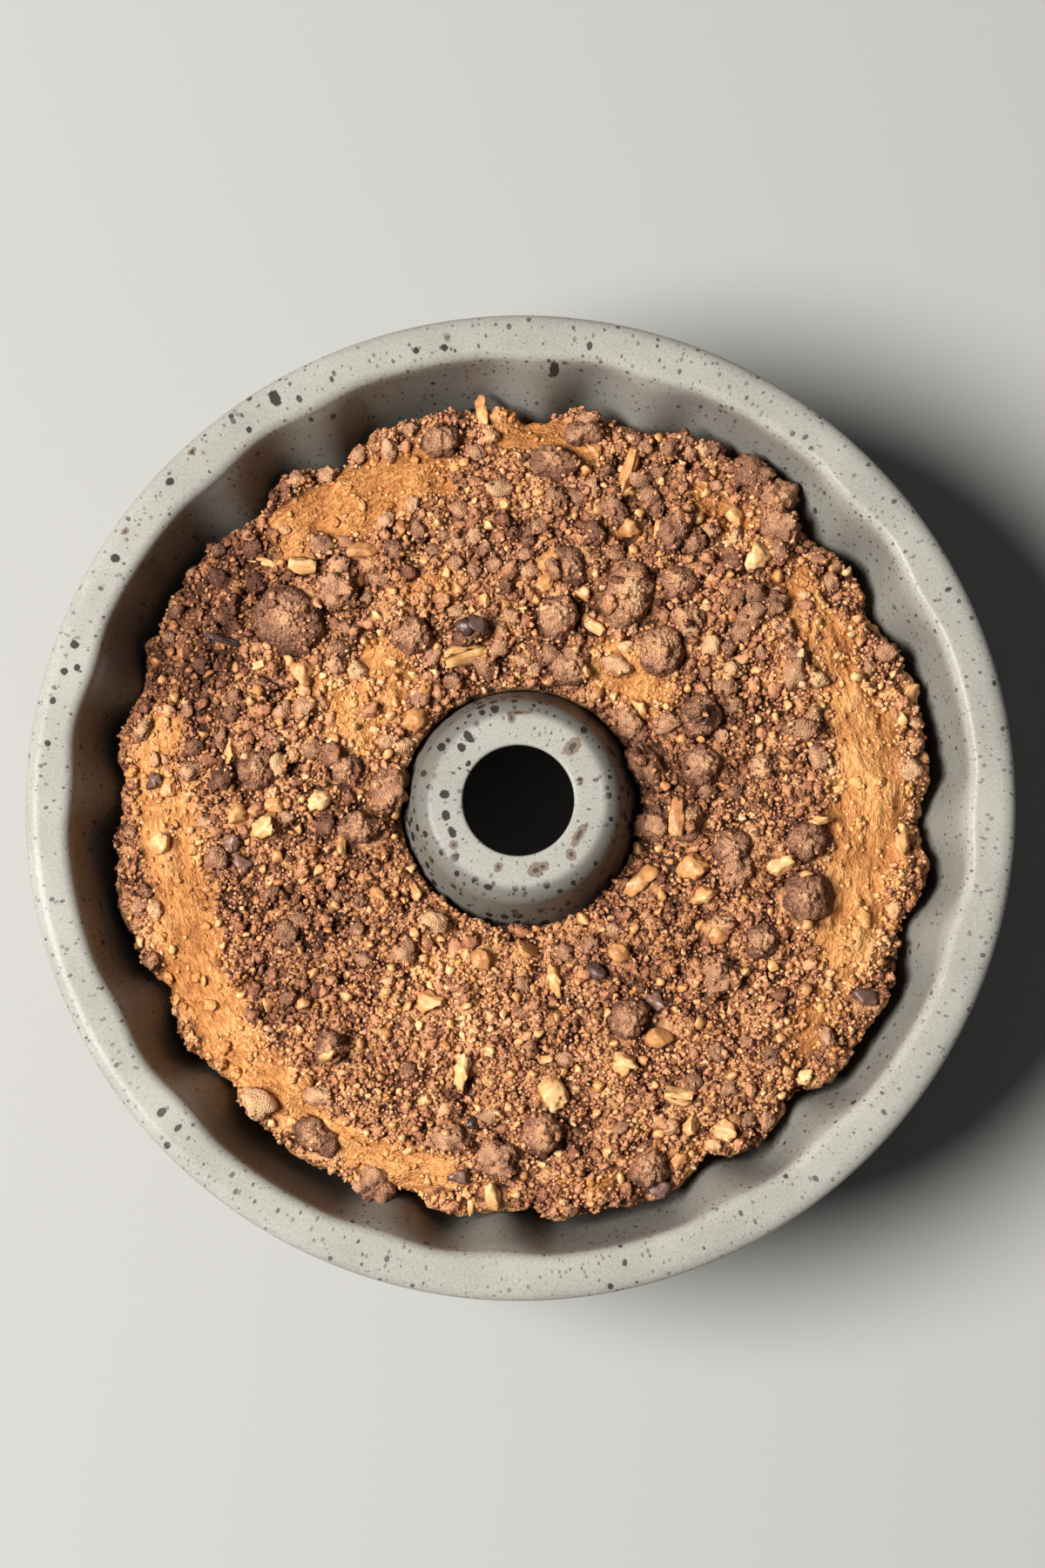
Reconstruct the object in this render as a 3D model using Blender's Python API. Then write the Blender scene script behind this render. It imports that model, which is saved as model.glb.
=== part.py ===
"""A ring-shaped coffee cake with a crumb topping, in the fluted tube pan that it was baked in.

Metres, +Z up. The origin is the centre of the pan's foot, on the surface that the pan stands on.
The pan is pressed from sheet: lip, fluted wall, rounded floor and a plain tube, open from top to bottom.
The tube and its flared foot are a solid of their own, which meets the floor in a hairline seam under the cake.
Wide and narrow flutes take turns round the wall, with a rounded ridge between each two.
The cake is solid, follows the flutes with a little room all over, and has shrunk from the wall at its top edge.
The largest clumps of topping sit in shallow pockets in the cake's crown.
"""

import math
from collections import namedtuple

import bmesh
import bpy
from mathutils import Matrix, Vector, noise

# The pan
RIM_RADIUS = 0.127
PAN_HEIGHT = 0.085
SHEET = 0.001
LIP_EDGE_DROP = 0.0025
LIP_CROWN_RADIUS = 0.1229
SHOULDER_RADIUS = 0.003
WALL_RADIUS = 0.115
WALL_RADIUS_AT = 0.080
WALL_LEAN = math.radians(13.0)
FLOOR_OUTER = 0.077
FLOOR_INNER = 0.067
TUBE_RADIUS = 0.0307
TUBE_RADIUS_AT = 0.064
TUBE_LEAN = math.radians(13.5)
TUBE_CORNER = 0.0055
HOLE_RADIUS = 0.01426
FOOT_REACH = 0.00025  # what ends this near the ground is brought down to it

# The flutes
PERIODS = 8
NARROW_CENTRE = 35.25
NARROW_WIDTH = 15.0
RIDGE_REACH = 7.5
RIDGE_TOP = 0.0857
RIDGE_QUICK = 0.0050
RIDGE_QUICK_WITHIN = 0.012
RIDGE_AT_LIP = 0.0012
RIDGE_SLOW = 0.0038
RIDGE_AT_INNER_FLOOR = 0.0075

# The cake
SEAT_GAP = 0.0003
WALL_GAP = 0.003
MID_WALL_GAP = 0.0012
TUBE_GAP = 0.0006
CAKE_EDGE = 0.063
CAKE_DOME = 0.0105
DOME_ROUNDNESS = 0.6
CROWN_ANGLES = (14, 36, 66, 104, 143, 168)
BUMP_HEIGHT = 0.0011
BUMP_SCALE = 55.0
BUMPS_ABOVE = 0.0656
RIDGE_FADE = 0.45

# The turning that makes both pieces: its steps, and the levels and shares of a turn in its section
SEGMENTS = 72
FIRST_BEARING = 2.75
MID_WALL = 0.043
WALL_LEVELS = (0.074, CAKE_EDGE, MID_WALL)
OUTER_ARC_SHARES = (0.0, 0.36, 0.70, 1.0)
INNER_ARC_SHARES = (0.5, 1.0)
TUBE_CORNER_SHARES = (0.0, 0.5, 1.0)
SEAM_SHARE = 0.009  # where the tube's sheet starts, 0.3 mm from the floor's

# The clumps
CORNERS = 8
FOOT_DEPTH = 0.0013
CLUMP_RISE = 0.40
MOST_HEIGHT = 0.0788
POCKET_ROOM = 0.00045
FOOT_SHARE = 0.84
SHOULDER_SHARE = 0.78
SHOULDER_LEVEL = 0.62
UNEVEN = 0.10
UNEVEN_STEP = 1.7

# The colours
METAL_GREY = (0.36, 0.36, 0.33)
CRUST_GOLD = (0.50, 0.22, 0.07)
CRUMB_BROWN = (0.30, 0.14, 0.08)

# Bearing and turn are degrees counter-clockwise from +X, and distance, length and width are millimetres.
Clump = namedtuple("Clump", "bearing distance length width turn")
CLUMPS = (
    Clump(141.3, 77.0, 20.5, 17.0, -35),
    Clump(62.8, 61.4, 20.5, 13.6, 72),
    Clump(47.6, 54.6, 13.8, 12.4, 60),
    Clump(84.8, 90.5, 15.2, 8.6, -6),
    Clump(54.6, 71.2, 12.6, 7.8, 15),
    Clump(78.2, 63.8, 12.0, 8.4, 112),
    Clump(26.1, 52.6, 12.4, 11.4, 40),
    Clump(70.6, 38.6, 11.6, 10.0, 25),
    Clump(78.8, 50.0, 12.6, 11.4, 80),
    Clump(172.6, 68.2, 12.0, 10.8, 50),
    Clump(169.2, 45.6, 10.0, 8.2, 35),
    Clump(122.6, 52.5, 11.0, 9.6, -40),
    Clump(188.0, 42.2, 13.8, 9.0, 5),
    Clump(232.7, 78.9, 10.4, 9.0, 20),
    Clump(238.6, 100.2, 14.0, 8.2, -38),
    Clump(352.8, 74.9, 11.4, 10.2, 30),
    Clump(341.9, 77.9, 14.2, 13.0, 70),
    Clump(330.3, 72.0, 10.4, 9.4, 40),
    Clump(348.2, 56.2, 11.0, 9.8, 35),
    Clump(12.2, 48.4, 13.0, 10.6, 80),
    Clump(353.6, 43.8, 12.4, 8.4, 85),
    Clump(297.1, 62.5, 11.4, 10.2, 60),
    Clump(274.1, 85.1, 12.0, 10.8, 75),
    Clump(289.6, 99.6, 11.0, 8.6, 15),
    Clump(80.2, 99.4, 10.4, 7.8, -10),
    Clump(102.2, 98.6, 11.0, 9.4, 10),
)


def clear_scene():
    for old in list(bpy.data.objects):
        bpy.data.objects.remove(old, do_unlink=True)


def finish(name, color, roughness, metallic):
    """A plain material for one sub-part."""
    material = bpy.data.materials.new(name)
    material.use_nodes = True
    shader = material.node_tree.nodes["Principled BSDF"]
    shader.inputs["Base Color"].default_value = (*color, 1.0)
    shader.inputs["Roughness"].default_value = roughness
    shader.inputs["Metallic"].default_value = metallic
    return material


def as_object(name, shape, material=None):
    """Turns a bmesh into an object of the scene."""
    mesh = bpy.data.meshes.new(name)
    shape.to_mesh(mesh)
    shape.free()
    piece = bpy.data.objects.new(name, mesh)
    bpy.context.scene.collection.objects.link(piece)
    if material is not None:
        mesh.materials.append(material)
    return piece


# A station is one point of the section that is turned about the tube's axis. across and up are the
# direction in which a ridge rises there, into the pan, and ridge is how far it rises.
Station = namedtuple("Station", "radius height across up ridge")


def ridge_on_wall(height):
    """How far a ridge stands into the pan, from very little at the shoulder to its most at the floor."""
    below = max(0.0, RIDGE_TOP - height)
    quick = RIDGE_QUICK * (1.0 - math.exp(-below / RIDGE_QUICK_WITHIN))
    return quick + RIDGE_SLOW * below / RIDGE_TOP


def wall_radius(height):
    return WALL_RADIUS - (WALL_RADIUS_AT - height) * math.tan(WALL_LEAN)


def tube_radius(height):
    return TUBE_RADIUS - (height - TUBE_RADIUS_AT) * math.tan(TUBE_LEAN)


def curve_radius(run, drop, lean):
    """The radius of the arc that joins a leaning line to the level floor."""
    return (run * math.cos(lean) - drop * math.sin(lean)) / (1.0 - math.sin(lean))


def corner_centre(radius_at_line, drop, corner, lean):
    """The radius at which an arc under the level top meets a leaning line that ends drop below it."""
    return radius_at_line + ((drop - corner) * math.sin(lean) + corner) / math.cos(lean)


def lip_stations():
    """From the lip's turned-down edge to the top of the wall."""
    drop = PAN_HEIGHT - WALL_RADIUS_AT
    centre = corner_centre(WALL_RADIUS, drop, SHOULDER_RADIUS, WALL_LEAN)
    stations = [
        Station(RIM_RADIUS, PAN_HEIGHT - LIP_EDGE_DROP, 0.0, 1.0, 0.0),
        Station(LIP_CROWN_RADIUS, PAN_HEIGHT, 0.0, 1.0, 0.0),
        Station(centre, PAN_HEIGHT, -1.0, 0.0, RIDGE_AT_LIP),
    ]
    across = -math.cos(WALL_LEAN)
    up = math.sin(WALL_LEAN)
    foot = PAN_HEIGHT - SHOULDER_RADIUS + SHOULDER_RADIUS * up
    stations.append(Station(centre + SHOULDER_RADIUS * across, foot, across, up, ridge_on_wall(foot)))
    return stations


def wall_stations(heights):
    across = -math.cos(WALL_LEAN)
    up = math.sin(WALL_LEAN)
    return [Station(wall_radius(z), z, across, up, ridge_on_wall(z)) for z in heights]


def outer_arc_stations():
    """The outer arc between wall and floor."""
    curve = curve_radius(WALL_RADIUS - FLOOR_OUTER, WALL_RADIUS_AT - SHEET, WALL_LEAN)
    stations = []
    for share in OUTER_ARC_SHARES:
        angle = WALL_LEAN + share * (math.pi / 2 - WALL_LEAN)
        radius = FLOOR_OUTER + curve * math.cos(angle)
        height = SHEET + curve * (1.0 - math.sin(angle))
        stations.append(Station(radius, height, -math.cos(angle), math.sin(angle), ridge_on_wall(height)))
    return stations


def inner_arc_stations(shares):
    """The inner arc between floor and tube, by the share of its turn. The ridges run out here."""
    curve = curve_radius(FLOOR_INNER - TUBE_RADIUS, TUBE_RADIUS_AT - SHEET, TUBE_LEAN)
    stations = []
    for share in shares:
        angle = math.pi / 2 - share * (math.pi / 2 - TUBE_LEAN)
        radius = FLOOR_INNER - curve * math.cos(angle)
        height = SHEET + curve * (1.0 - math.sin(angle))
        ridge = RIDGE_AT_INNER_FLOOR * (1.0 - share)
        stations.append(Station(radius, height, math.cos(angle), math.sin(angle), ridge))
    return stations


def tube_stations(heights):
    across = math.cos(TUBE_LEAN)
    up = math.sin(TUBE_LEAN)
    return [Station(tube_radius(z), z, across, up, 0.0) for z in heights]


def tube_top_stations():
    """The rounded corner on the tube's top and the flat ring round its hole."""
    drop = PAN_HEIGHT - TUBE_RADIUS_AT
    flat = 2 * TUBE_RADIUS - corner_centre(TUBE_RADIUS, drop, TUBE_CORNER, TUBE_LEAN)
    stations = []
    for share in TUBE_CORNER_SHARES:
        angle = TUBE_LEAN + share * (math.pi / 2 - TUBE_LEAN)
        across = math.cos(angle)
        up = math.sin(angle)
        height = PAN_HEIGHT - TUBE_CORNER * (1.0 - up)
        stations.append(Station(flat + TUBE_CORNER * across, height, across, up, 0.0))
    stations.append(Station(HOLE_RADIUS, PAN_HEIGHT, 0.0, 1.0, 0.0))
    return stations


def moved(station, gap):
    """The station a gap further into the pan."""
    radius = station.radius + gap * station.across
    return station._replace(radius=radius, height=station.height + gap * station.up)


def ridge_share(bearing):
    """1 on the crest of a ridge and 0 from a ridge's reach away from it."""
    period = 360.0 / PERIODS
    from_centre = abs((bearing - NARROW_CENTRE + period / 2) % period - period / 2)
    from_crest = abs(from_centre - NARROW_WIDTH / 2)
    if from_crest >= RIDGE_REACH:
        return 0.0
    return 0.5 * (1.0 + math.cos(math.pi * from_crest / RIDGE_REACH))


def turned(stations, closed):
    """The section turned full circle, with its ridges raised."""
    shape = bmesh.new()
    facing = shape.verts.layers.float_vector.new("facing")
    ridge = shape.verts.layers.float.new("ridge")
    corners = []
    for station in stations:
        corner = shape.verts.new((station.radius, 0.0, station.height))
        corner[facing] = (station.across, 0.0, station.up)
        corner[ridge] = station.ridge
        corners.append(corner)
    following = corners[1:] + corners[:1] if closed else corners[1:]
    edges = [shape.edges.new(pair) for pair in zip(corners, following)]
    start = Matrix.Rotation(math.radians(FIRST_BEARING), 4, "Z")
    bmesh.ops.transform(shape, matrix=start, verts=corners)
    bmesh.ops.spin(
        shape,
        geom=corners + edges,
        cent=(0.0, 0.0, 0.0),
        axis=(0.0, 0.0, 1.0),
        angle=2.0 * math.pi,
        steps=SEGMENTS,
        use_merge=True,
    )
    for corner in shape.verts:
        bearing = math.atan2(corner.co.y, corner.co.x)
        rise = corner[ridge] * ridge_share(math.degrees(bearing))
        way = corner[facing]
        corner.co += rise * Vector((way.x * math.cos(bearing), way.x * math.sin(bearing), way.z))
    bmesh.ops.recalc_face_normals(shape, faces=shape.faces[:])
    return shape


def make_sheet(name, stations, material):
    """A turned sheet, thickened away from the cake, with its feet brought level."""
    shape = turned(stations, closed=False)
    if min(shape.faces, key=lambda face: face.calc_center_median().z).normal.z < 0.0:
        bmesh.ops.reverse_faces(shape, faces=shape.faces[:])
    bmesh.ops.solidify(shape, geom=shape.faces[:], thickness=SHEET)
    for corner in shape.verts:
        if corner.co.z < FOOT_REACH:
            corner.co.z = 0.0
    bmesh.ops.recalc_face_normals(shape, faces=shape.faces[:])
    return as_object(name, shape, material)


def make_pan():
    """The pan in two sheets that almost touch: lip, wall and floor, and the tube with its flared foot."""
    metal = finish("speckled_grey_metal", METAL_GREY, roughness=0.45, metallic=0.3)
    wall = lip_stations() + wall_stations(WALL_LEVELS) + outer_arc_stations() + inner_arc_stations((0.0,))
    make_sheet("pan", wall, metal)
    tube = inner_arc_stations((SEAM_SHARE, *INNER_ARC_SHARES)) + tube_stations((TUBE_RADIUS_AT,))
    make_sheet("pan_tube", tube + tube_top_stations(), metal)


def crown_ends():
    """The outer and inner radius of the crown, in the middle of a wide flute."""
    outer = moved(wall_stations((CAKE_EDGE,))[0], WALL_GAP).radius
    inner = moved(tube_stations((TUBE_RADIUS_AT,))[0], TUBE_GAP).radius
    return outer, inner


def bump(x, y):
    return BUMP_HEIGHT * noise.noise(Vector((x, y, 0.0)) * BUMP_SCALE)


def crown_height(x, y):
    """The height of the cake's top at a place, for what sits on it."""
    outer, inner = crown_ends()
    across = (2.0 * math.hypot(x, y) - outer - inner) / (outer - inner)
    rise = max(0.0, 1.0 - across * across) ** (DOME_ROUNDNESS / 2)
    return CAKE_EDGE + CAKE_DOME * rise + bump(x, y)


def crown_stations():
    """The domed top, from beside the tube to beside the wall."""
    outer, inner = crown_ends()
    edge_ridge = ridge_on_wall(CAKE_EDGE)
    stations = []
    for angle in reversed(CROWN_ANGLES):
        turn = math.radians(angle)
        radius = (outer + inner) / 2 + (outer - inner) / 2 * math.cos(turn)
        height = CAKE_EDGE + CAKE_DOME * math.sin(turn) ** DOME_ROUNDNESS
        ridge = edge_ridge * max(0.0, math.cos(turn)) ** (1 / RIDGE_FADE)
        stations.append(Station(radius, height, -1.0, 0.0, ridge))
    return stations


def make_cake():
    """The solid ring, with flutes to match the pan and a domed, uneven top."""
    wall = wall_stations((CAKE_EDGE, MID_WALL))
    floor = outer_arc_stations() + inner_arc_stations((0.0, *INNER_ARC_SHARES))
    stations = [moved(wall[0], WALL_GAP), moved(wall[1], MID_WALL_GAP)]
    stations += [moved(station, SEAT_GAP) for station in floor]
    stations += [moved(tube_stations((TUBE_RADIUS_AT,))[0], TUBE_GAP)] + crown_stations()
    shape = turned(stations, closed=True)
    for corner in shape.verts:
        if corner.co.z > BUMPS_ABOVE:
            corner.co.z += bump(corner.co.x, corner.co.y)
    crust = finish("golden_crust", CRUST_GOLD, roughness=0.85, metallic=0.0)
    return as_object("cake", shape, crust)


def corner_reach(clump, index):
    """How far one corner of a clump stands from its middle, as a share of the even outline."""
    return 1.0 + UNEVEN * noise.noise(Vector((clump.bearing, clump.distance, index * UNEVEN_STEP)))


def outline(clump, share, room, height):
    """The corners of a clump's outline at one height, in place."""
    turn = math.radians(clump.turn)
    bearing = math.radians(clump.bearing)
    middle = Vector((math.cos(bearing), math.sin(bearing))) * clump.distance / 1000
    points = []
    for index in range(CORNERS):
        angle = 2.0 * math.pi * (index + 0.5) / CORNERS
        reach = share * corner_reach(clump, index)
        along = (clump.length / 2000 * reach + room) * math.cos(angle)
        aside = (clump.width / 2000 * reach + room) * math.sin(angle)
        x = middle.x + along * math.cos(turn) - aside * math.sin(turn)
        y = middle.y + along * math.sin(turn) + aside * math.cos(turn)
        points.append(Vector((x, y, height)))
    return points


def nearest(point, ring):
    return min(range(len(ring)), key=lambda index: (point - ring[index]).length)


def stacked(rings):
    """A closed body through rings of corners, from the lowest up, and its top face."""
    shape = bmesh.new()
    corners = bmesh.ops.create_circle(shape, cap_ends=True, segments=CORNERS, radius=1.0)["verts"]
    for corner, point in zip(corners, rings[0]):
        corner.co = point
    shape.faces.ensure_lookup_table()
    foot = face = shape.faces[0]
    for lower, upper in zip(rings, rings[1:]):
        below = face
        made = bmesh.ops.extrude_face_region(shape, geom=[below], use_keep_orig=True)["geom"]
        face = next(part for part in made if isinstance(part, bmesh.types.BMFace))
        for corner in face.verts:
            corner.co = upper[nearest(corner.co, lower)]
        if below is not foot:
            bmesh.ops.delete(shape, geom=[below], context="FACES_ONLY")
    bmesh.ops.recalc_face_normals(shape, faces=shape.faces[:])
    return shape, face


def clump_levels(clump):
    """The heights of a clump's foot, waist and top."""
    rim = outline(clump, 1.0, 0.0, 0.0)
    foot = min(crown_height(point.x, point.y) for point in rim) - FOOT_DEPTH
    bearing = math.radians(clump.bearing)
    distance = clump.distance / 1000
    waist = max(crown_height(distance * math.cos(bearing), distance * math.sin(bearing)), foot + FOOT_DEPTH)
    top = min(waist + CLUMP_RISE * clump.width / 1000, MOST_HEIGHT)
    return foot, waist, top


def make_clump(name, clump, material):
    """A rounded lump of crumbs on a flat foot, and the cutter of the pocket that it sits in."""
    foot, waist, top = clump_levels(clump)
    shoulder = waist + SHOULDER_LEVEL * (top - waist)
    rings = [
        outline(clump, FOOT_SHARE, 0.0, foot),
        outline(clump, 1.0, 0.0, waist),
        outline(clump, SHOULDER_SHARE, 0.0, shoulder),
    ]
    shape, face = stacked(rings)
    bmesh.ops.poke(shape, faces=[face], offset=top - shoulder)
    as_object(name, shape, material)
    rings = [
        outline(clump, 1.0, POCKET_ROOM, foot - SEAT_GAP),
        outline(clump, 1.0, POCKET_ROOM, PAN_HEIGHT),
    ]
    shape = stacked(rings)[0]
    cutter = as_object(name + "_pocket", shape)
    cutter.hide_render = True
    cutter.display_type = "WIRE"
    return cutter


def main():
    clear_scene()
    make_pan()
    cake = make_cake()
    crumb = finish("brown_crumb", CRUMB_BROWN, roughness=0.9, metallic=0.0)
    for number, clump in enumerate(CLUMPS, 1):
        name = f"clump_{number:02d}"
        pocket = cake.modifiers.new(name, "BOOLEAN")
        pocket.object = make_clump(name, clump, crumb)
        pocket.operation = "DIFFERENCE"
        pocket.solver = "EXACT"


main()
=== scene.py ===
"""The looks of a ring-shaped coffee cake with a nutty crumb topping, in its fluted tube pan.

The pan is one smooth pressed sheet with a speckled satin coat. The cake's crust is relief on one mesh,
golden where the dough lies bare and brown where crumbs cover it. Lumps, clumps, crumbs and pieces of nut
lie on top as joined meshes, one for each kind. Bearings are degrees counter-clockwise from +X. Places on
the cake are given by bearing and by distance from the tube's axis, in millimetres.
"""

import math
import random
from collections import namedtuple
from functools import partial

import bmesh
import bpy
import numpy as np
from mathutils import Matrix, Vector, noise
from mathutils.bvhtree import BVHTree


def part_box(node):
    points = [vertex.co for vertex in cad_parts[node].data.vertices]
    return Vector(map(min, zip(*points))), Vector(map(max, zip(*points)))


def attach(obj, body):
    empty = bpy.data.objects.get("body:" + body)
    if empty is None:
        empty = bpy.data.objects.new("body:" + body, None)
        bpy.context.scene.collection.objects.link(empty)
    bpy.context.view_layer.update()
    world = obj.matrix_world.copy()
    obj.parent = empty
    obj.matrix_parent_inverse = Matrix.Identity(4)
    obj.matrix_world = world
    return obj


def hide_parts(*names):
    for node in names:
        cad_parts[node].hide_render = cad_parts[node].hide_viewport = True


MM = 0.001

# The pan, as the frame has it
RIM_RADIUS = 0.127
PAN_HEIGHT = 0.085
SHEET = 0.001
LIP_EDGE_DROP = 0.0025
LIP_CROWN_RADIUS = 0.1229
SHOULDER_RADIUS = 0.003
WALL_RADIUS = 0.115
WALL_RADIUS_AT = 0.080
WALL_LEAN = math.radians(13.0)
FLOOR_OUTER = 0.077
FLOOR_INNER = 0.067
TUBE_RADIUS = 0.0307
TUBE_RADIUS_AT = 0.064
TUBE_LEAN = math.radians(13.5)
TUBE_CORNER = 0.0055
HOLE_RADIUS = 0.01426
HOLE_EDGE_RADIUS = 0.0008
HOLE_EDGE_DROP = 0.0022
FOOT_REACH = 0.00025

# The flutes
PERIODS = 8
NARROW_CENTRE = 35.25
NARROW_WIDTH = 15.0
RIDGE_REACH = 7.5
RIDGE_TOP = 0.0857
RIDGE_QUICK = 0.0050
RIDGE_QUICK_WITHIN = 0.012
RIDGE_AT_LIP = 0.0012
RIDGE_SLOW = 0.0038
RIDGE_AT_INNER_FLOOR = 0.0075

# The cake, as the frame has it
SEAT_GAP = 0.0003
WALL_GAP = 0.003
MID_WALL_GAP = 0.0012
MID_WALL = 0.043
TUBE_GAP = 0.0006
CAKE_EDGE = 0.063
CAKE_DOME = 0.0105
DOME_ROUNDNESS = 0.6
BUMP_HEIGHT = 0.0011
BUMP_SCALE = 55.0
RIDGE_FADE = 0.45

# How finely both are turned
PAN_STEPS = 480
CAKE_STEPS = 288
LIP_TURNS = 8
LIP_ROWS = 3
WALL_ROWS = 28
TUBE_ROWS = 24
TUBE_TURNS = 10
RING_ROWS = 4
SIDE_ROWS = 6
LOW_SIDE_ROWS = 5
INNER_ROWS = 8
CROWN_ROW = 0.0013
BODY_ROW = 0.0045
SECTION_ROW = 0.0022

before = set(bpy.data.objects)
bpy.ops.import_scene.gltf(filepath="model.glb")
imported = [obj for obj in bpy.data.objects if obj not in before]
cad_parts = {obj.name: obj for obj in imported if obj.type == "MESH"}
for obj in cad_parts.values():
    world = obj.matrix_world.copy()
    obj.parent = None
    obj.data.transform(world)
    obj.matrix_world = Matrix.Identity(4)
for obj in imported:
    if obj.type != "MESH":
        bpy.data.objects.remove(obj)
CLUMP_NODES = [name for name in sorted(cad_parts) if name.startswith("clump_")]
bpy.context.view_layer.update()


def smooth(value, low, high):
    """0 below low, 1 above high and a soft step between."""
    share = min(1.0, max(0.0, (value - low) / (high - low)))
    return share * share * (3.0 - 2.0 * share)


def apart(bearing, other):
    """The signed angle from one bearing to another, within half a turn."""
    return (bearing - other + 180.0) % 360.0 - 180.0


def at(bearing, distance, height=0.0):
    """A point from a bearing in degrees and a distance and height in metres."""
    angle = math.radians(bearing)
    return Vector((distance * math.cos(angle), distance * math.sin(angle), height))


def as_piece(name, mesh, nodes=()):
    """An object that rides with the part and stands for the given nodes."""
    piece = bpy.data.objects.new(name, mesh)
    bpy.context.scene.collection.objects.link(piece)
    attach(piece, "root")
    if nodes:
        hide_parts(*nodes)
    return piece


def finished(name, shape, material, nodes):
    """A shape as a smooth piece in the given finish, standing for the given nodes."""
    mesh = bpy.data.meshes.new(name)
    shape.to_mesh(mesh)
    shape.free()
    mesh.shade_smooth()
    mesh.materials.append(material)
    return as_piece(name, mesh, nodes)


def rows(kind, table):
    """A table's rows, each as a named tuple of the given kind."""
    return tuple(kind(*row) for row in table)


# Turned shapes. A station is one point of the section. across and up are the direction in which a ridge
# rises there, and ridge is how far it rises.
Station = namedtuple("Station", "radius height across up ridge")


def ridge_on_wall(height):
    below = max(0.0, RIDGE_TOP - height)
    quick = RIDGE_QUICK * (1.0 - math.exp(-below / RIDGE_QUICK_WITHIN))
    return quick + RIDGE_SLOW * below / RIDGE_TOP


def ridge_share(bearing):
    """1 on the crest of a ridge and 0 from a ridge's reach away from it."""
    period = 360.0 / PERIODS
    from_centre = abs((bearing - NARROW_CENTRE + period / 2) % period - period / 2)
    from_crest = abs(from_centre - NARROW_WIDTH / 2)
    if from_crest >= RIDGE_REACH:
        return 0.0
    return 0.5 * (1.0 + math.cos(math.pi * from_crest / RIDGE_REACH))


def wall_radius(height):
    return WALL_RADIUS - (WALL_RADIUS_AT - height) * math.tan(WALL_LEAN)


def tube_radius(height):
    return TUBE_RADIUS - (height - TUBE_RADIUS_AT) * math.tan(TUBE_LEAN)


def curve_radius(run, drop, lean):
    """The radius of the arc that joins a leaning line to the level floor."""
    return (run * math.cos(lean) - drop * math.sin(lean)) / (1.0 - math.sin(lean))


def corner_centre(radius_at_line, drop, corner, lean):
    return radius_at_line + ((drop - corner) * math.sin(lean) + corner) / math.cos(lean)


def steps(start, end, count):
    """Evenly spaced values from start to end, both ends included."""
    return [start + (end - start) * index / count for index in range(count + 1)]


def lip_stations():
    """The rounded edge, the flat of the lip and the shoulder to the wall."""
    stations = []
    for turn in steps(0.0, math.pi / 2, LIP_TURNS):
        radius = LIP_CROWN_RADIUS + (RIM_RADIUS - LIP_CROWN_RADIUS) * math.cos(turn)
        height = PAN_HEIGHT - LIP_EDGE_DROP * (1.0 - math.sin(turn))
        stations.append(Station(radius, height, 0.0, 1.0, 0.0))
    centre = corner_centre(WALL_RADIUS, PAN_HEIGHT - WALL_RADIUS_AT, SHOULDER_RADIUS, WALL_LEAN)
    for radius in steps(LIP_CROWN_RADIUS, centre, LIP_ROWS)[1:-1]:
        stations.append(Station(radius, PAN_HEIGHT, 0.0, 1.0, 0.0))
    foot = PAN_HEIGHT - SHOULDER_RADIUS * (1.0 - math.sin(WALL_LEAN))
    for turn in steps(math.pi / 2, WALL_LEAN, LIP_TURNS):
        radius = centre - SHOULDER_RADIUS * math.cos(turn)
        height = PAN_HEIGHT - SHOULDER_RADIUS * (1.0 - math.sin(turn))
        share = (PAN_HEIGHT - height) / (PAN_HEIGHT - foot)
        ridge = RIDGE_AT_LIP + (ridge_on_wall(foot) - RIDGE_AT_LIP) * share
        stations.append(Station(radius, height, -1.0, 0.0, ridge))
    return stations


def wall_stations(heights, gap=0.0):
    across = -math.cos(WALL_LEAN)
    up = math.sin(WALL_LEAN)
    places = [(wall_radius(height) + gap * across, height + gap * up, height) for height in heights]
    return [Station(radius, level, across, up, ridge_on_wall(height)) for radius, level, height in places]


def outer_arc(row, gap=0.0):
    curve = curve_radius(WALL_RADIUS - FLOOR_OUTER, WALL_RADIUS_AT - SHEET, WALL_LEAN)
    stations = []
    for angle in steps(WALL_LEAN, math.pi / 2, round(curve * (math.pi / 2 - WALL_LEAN) / row)):
        height = SHEET + curve * (1.0 - math.sin(angle))
        radius = FLOOR_OUTER + (curve - gap) * math.cos(angle)
        level = height + gap * math.sin(angle)
        stations.append(Station(radius, level, -math.cos(angle), math.sin(angle), ridge_on_wall(height)))
    return stations


def inner_arc(row, gap=0.0):
    curve = curve_radius(FLOOR_INNER - TUBE_RADIUS, TUBE_RADIUS_AT - SHEET, TUBE_LEAN)
    stations = []
    for share in steps(0.0, 1.0, round(curve * (math.pi / 2 - TUBE_LEAN) / row)):
        angle = math.pi / 2 - share * (math.pi / 2 - TUBE_LEAN)
        radius = FLOOR_INNER - (curve - gap) * math.cos(angle)
        height = SHEET + curve * (1.0 - math.sin(angle)) + gap * math.sin(angle)
        ridge = RIDGE_AT_INNER_FLOOR * (1.0 - share)
        stations.append(Station(radius, height, math.cos(angle), math.sin(angle), ridge))
    return stations


def tube_stations(heights, gap=0.0):
    across = math.cos(TUBE_LEAN)
    up = math.sin(TUBE_LEAN)
    return [Station(tube_radius(z) + gap * across, z + gap * up, across, up, 0.0) for z in heights]


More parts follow.
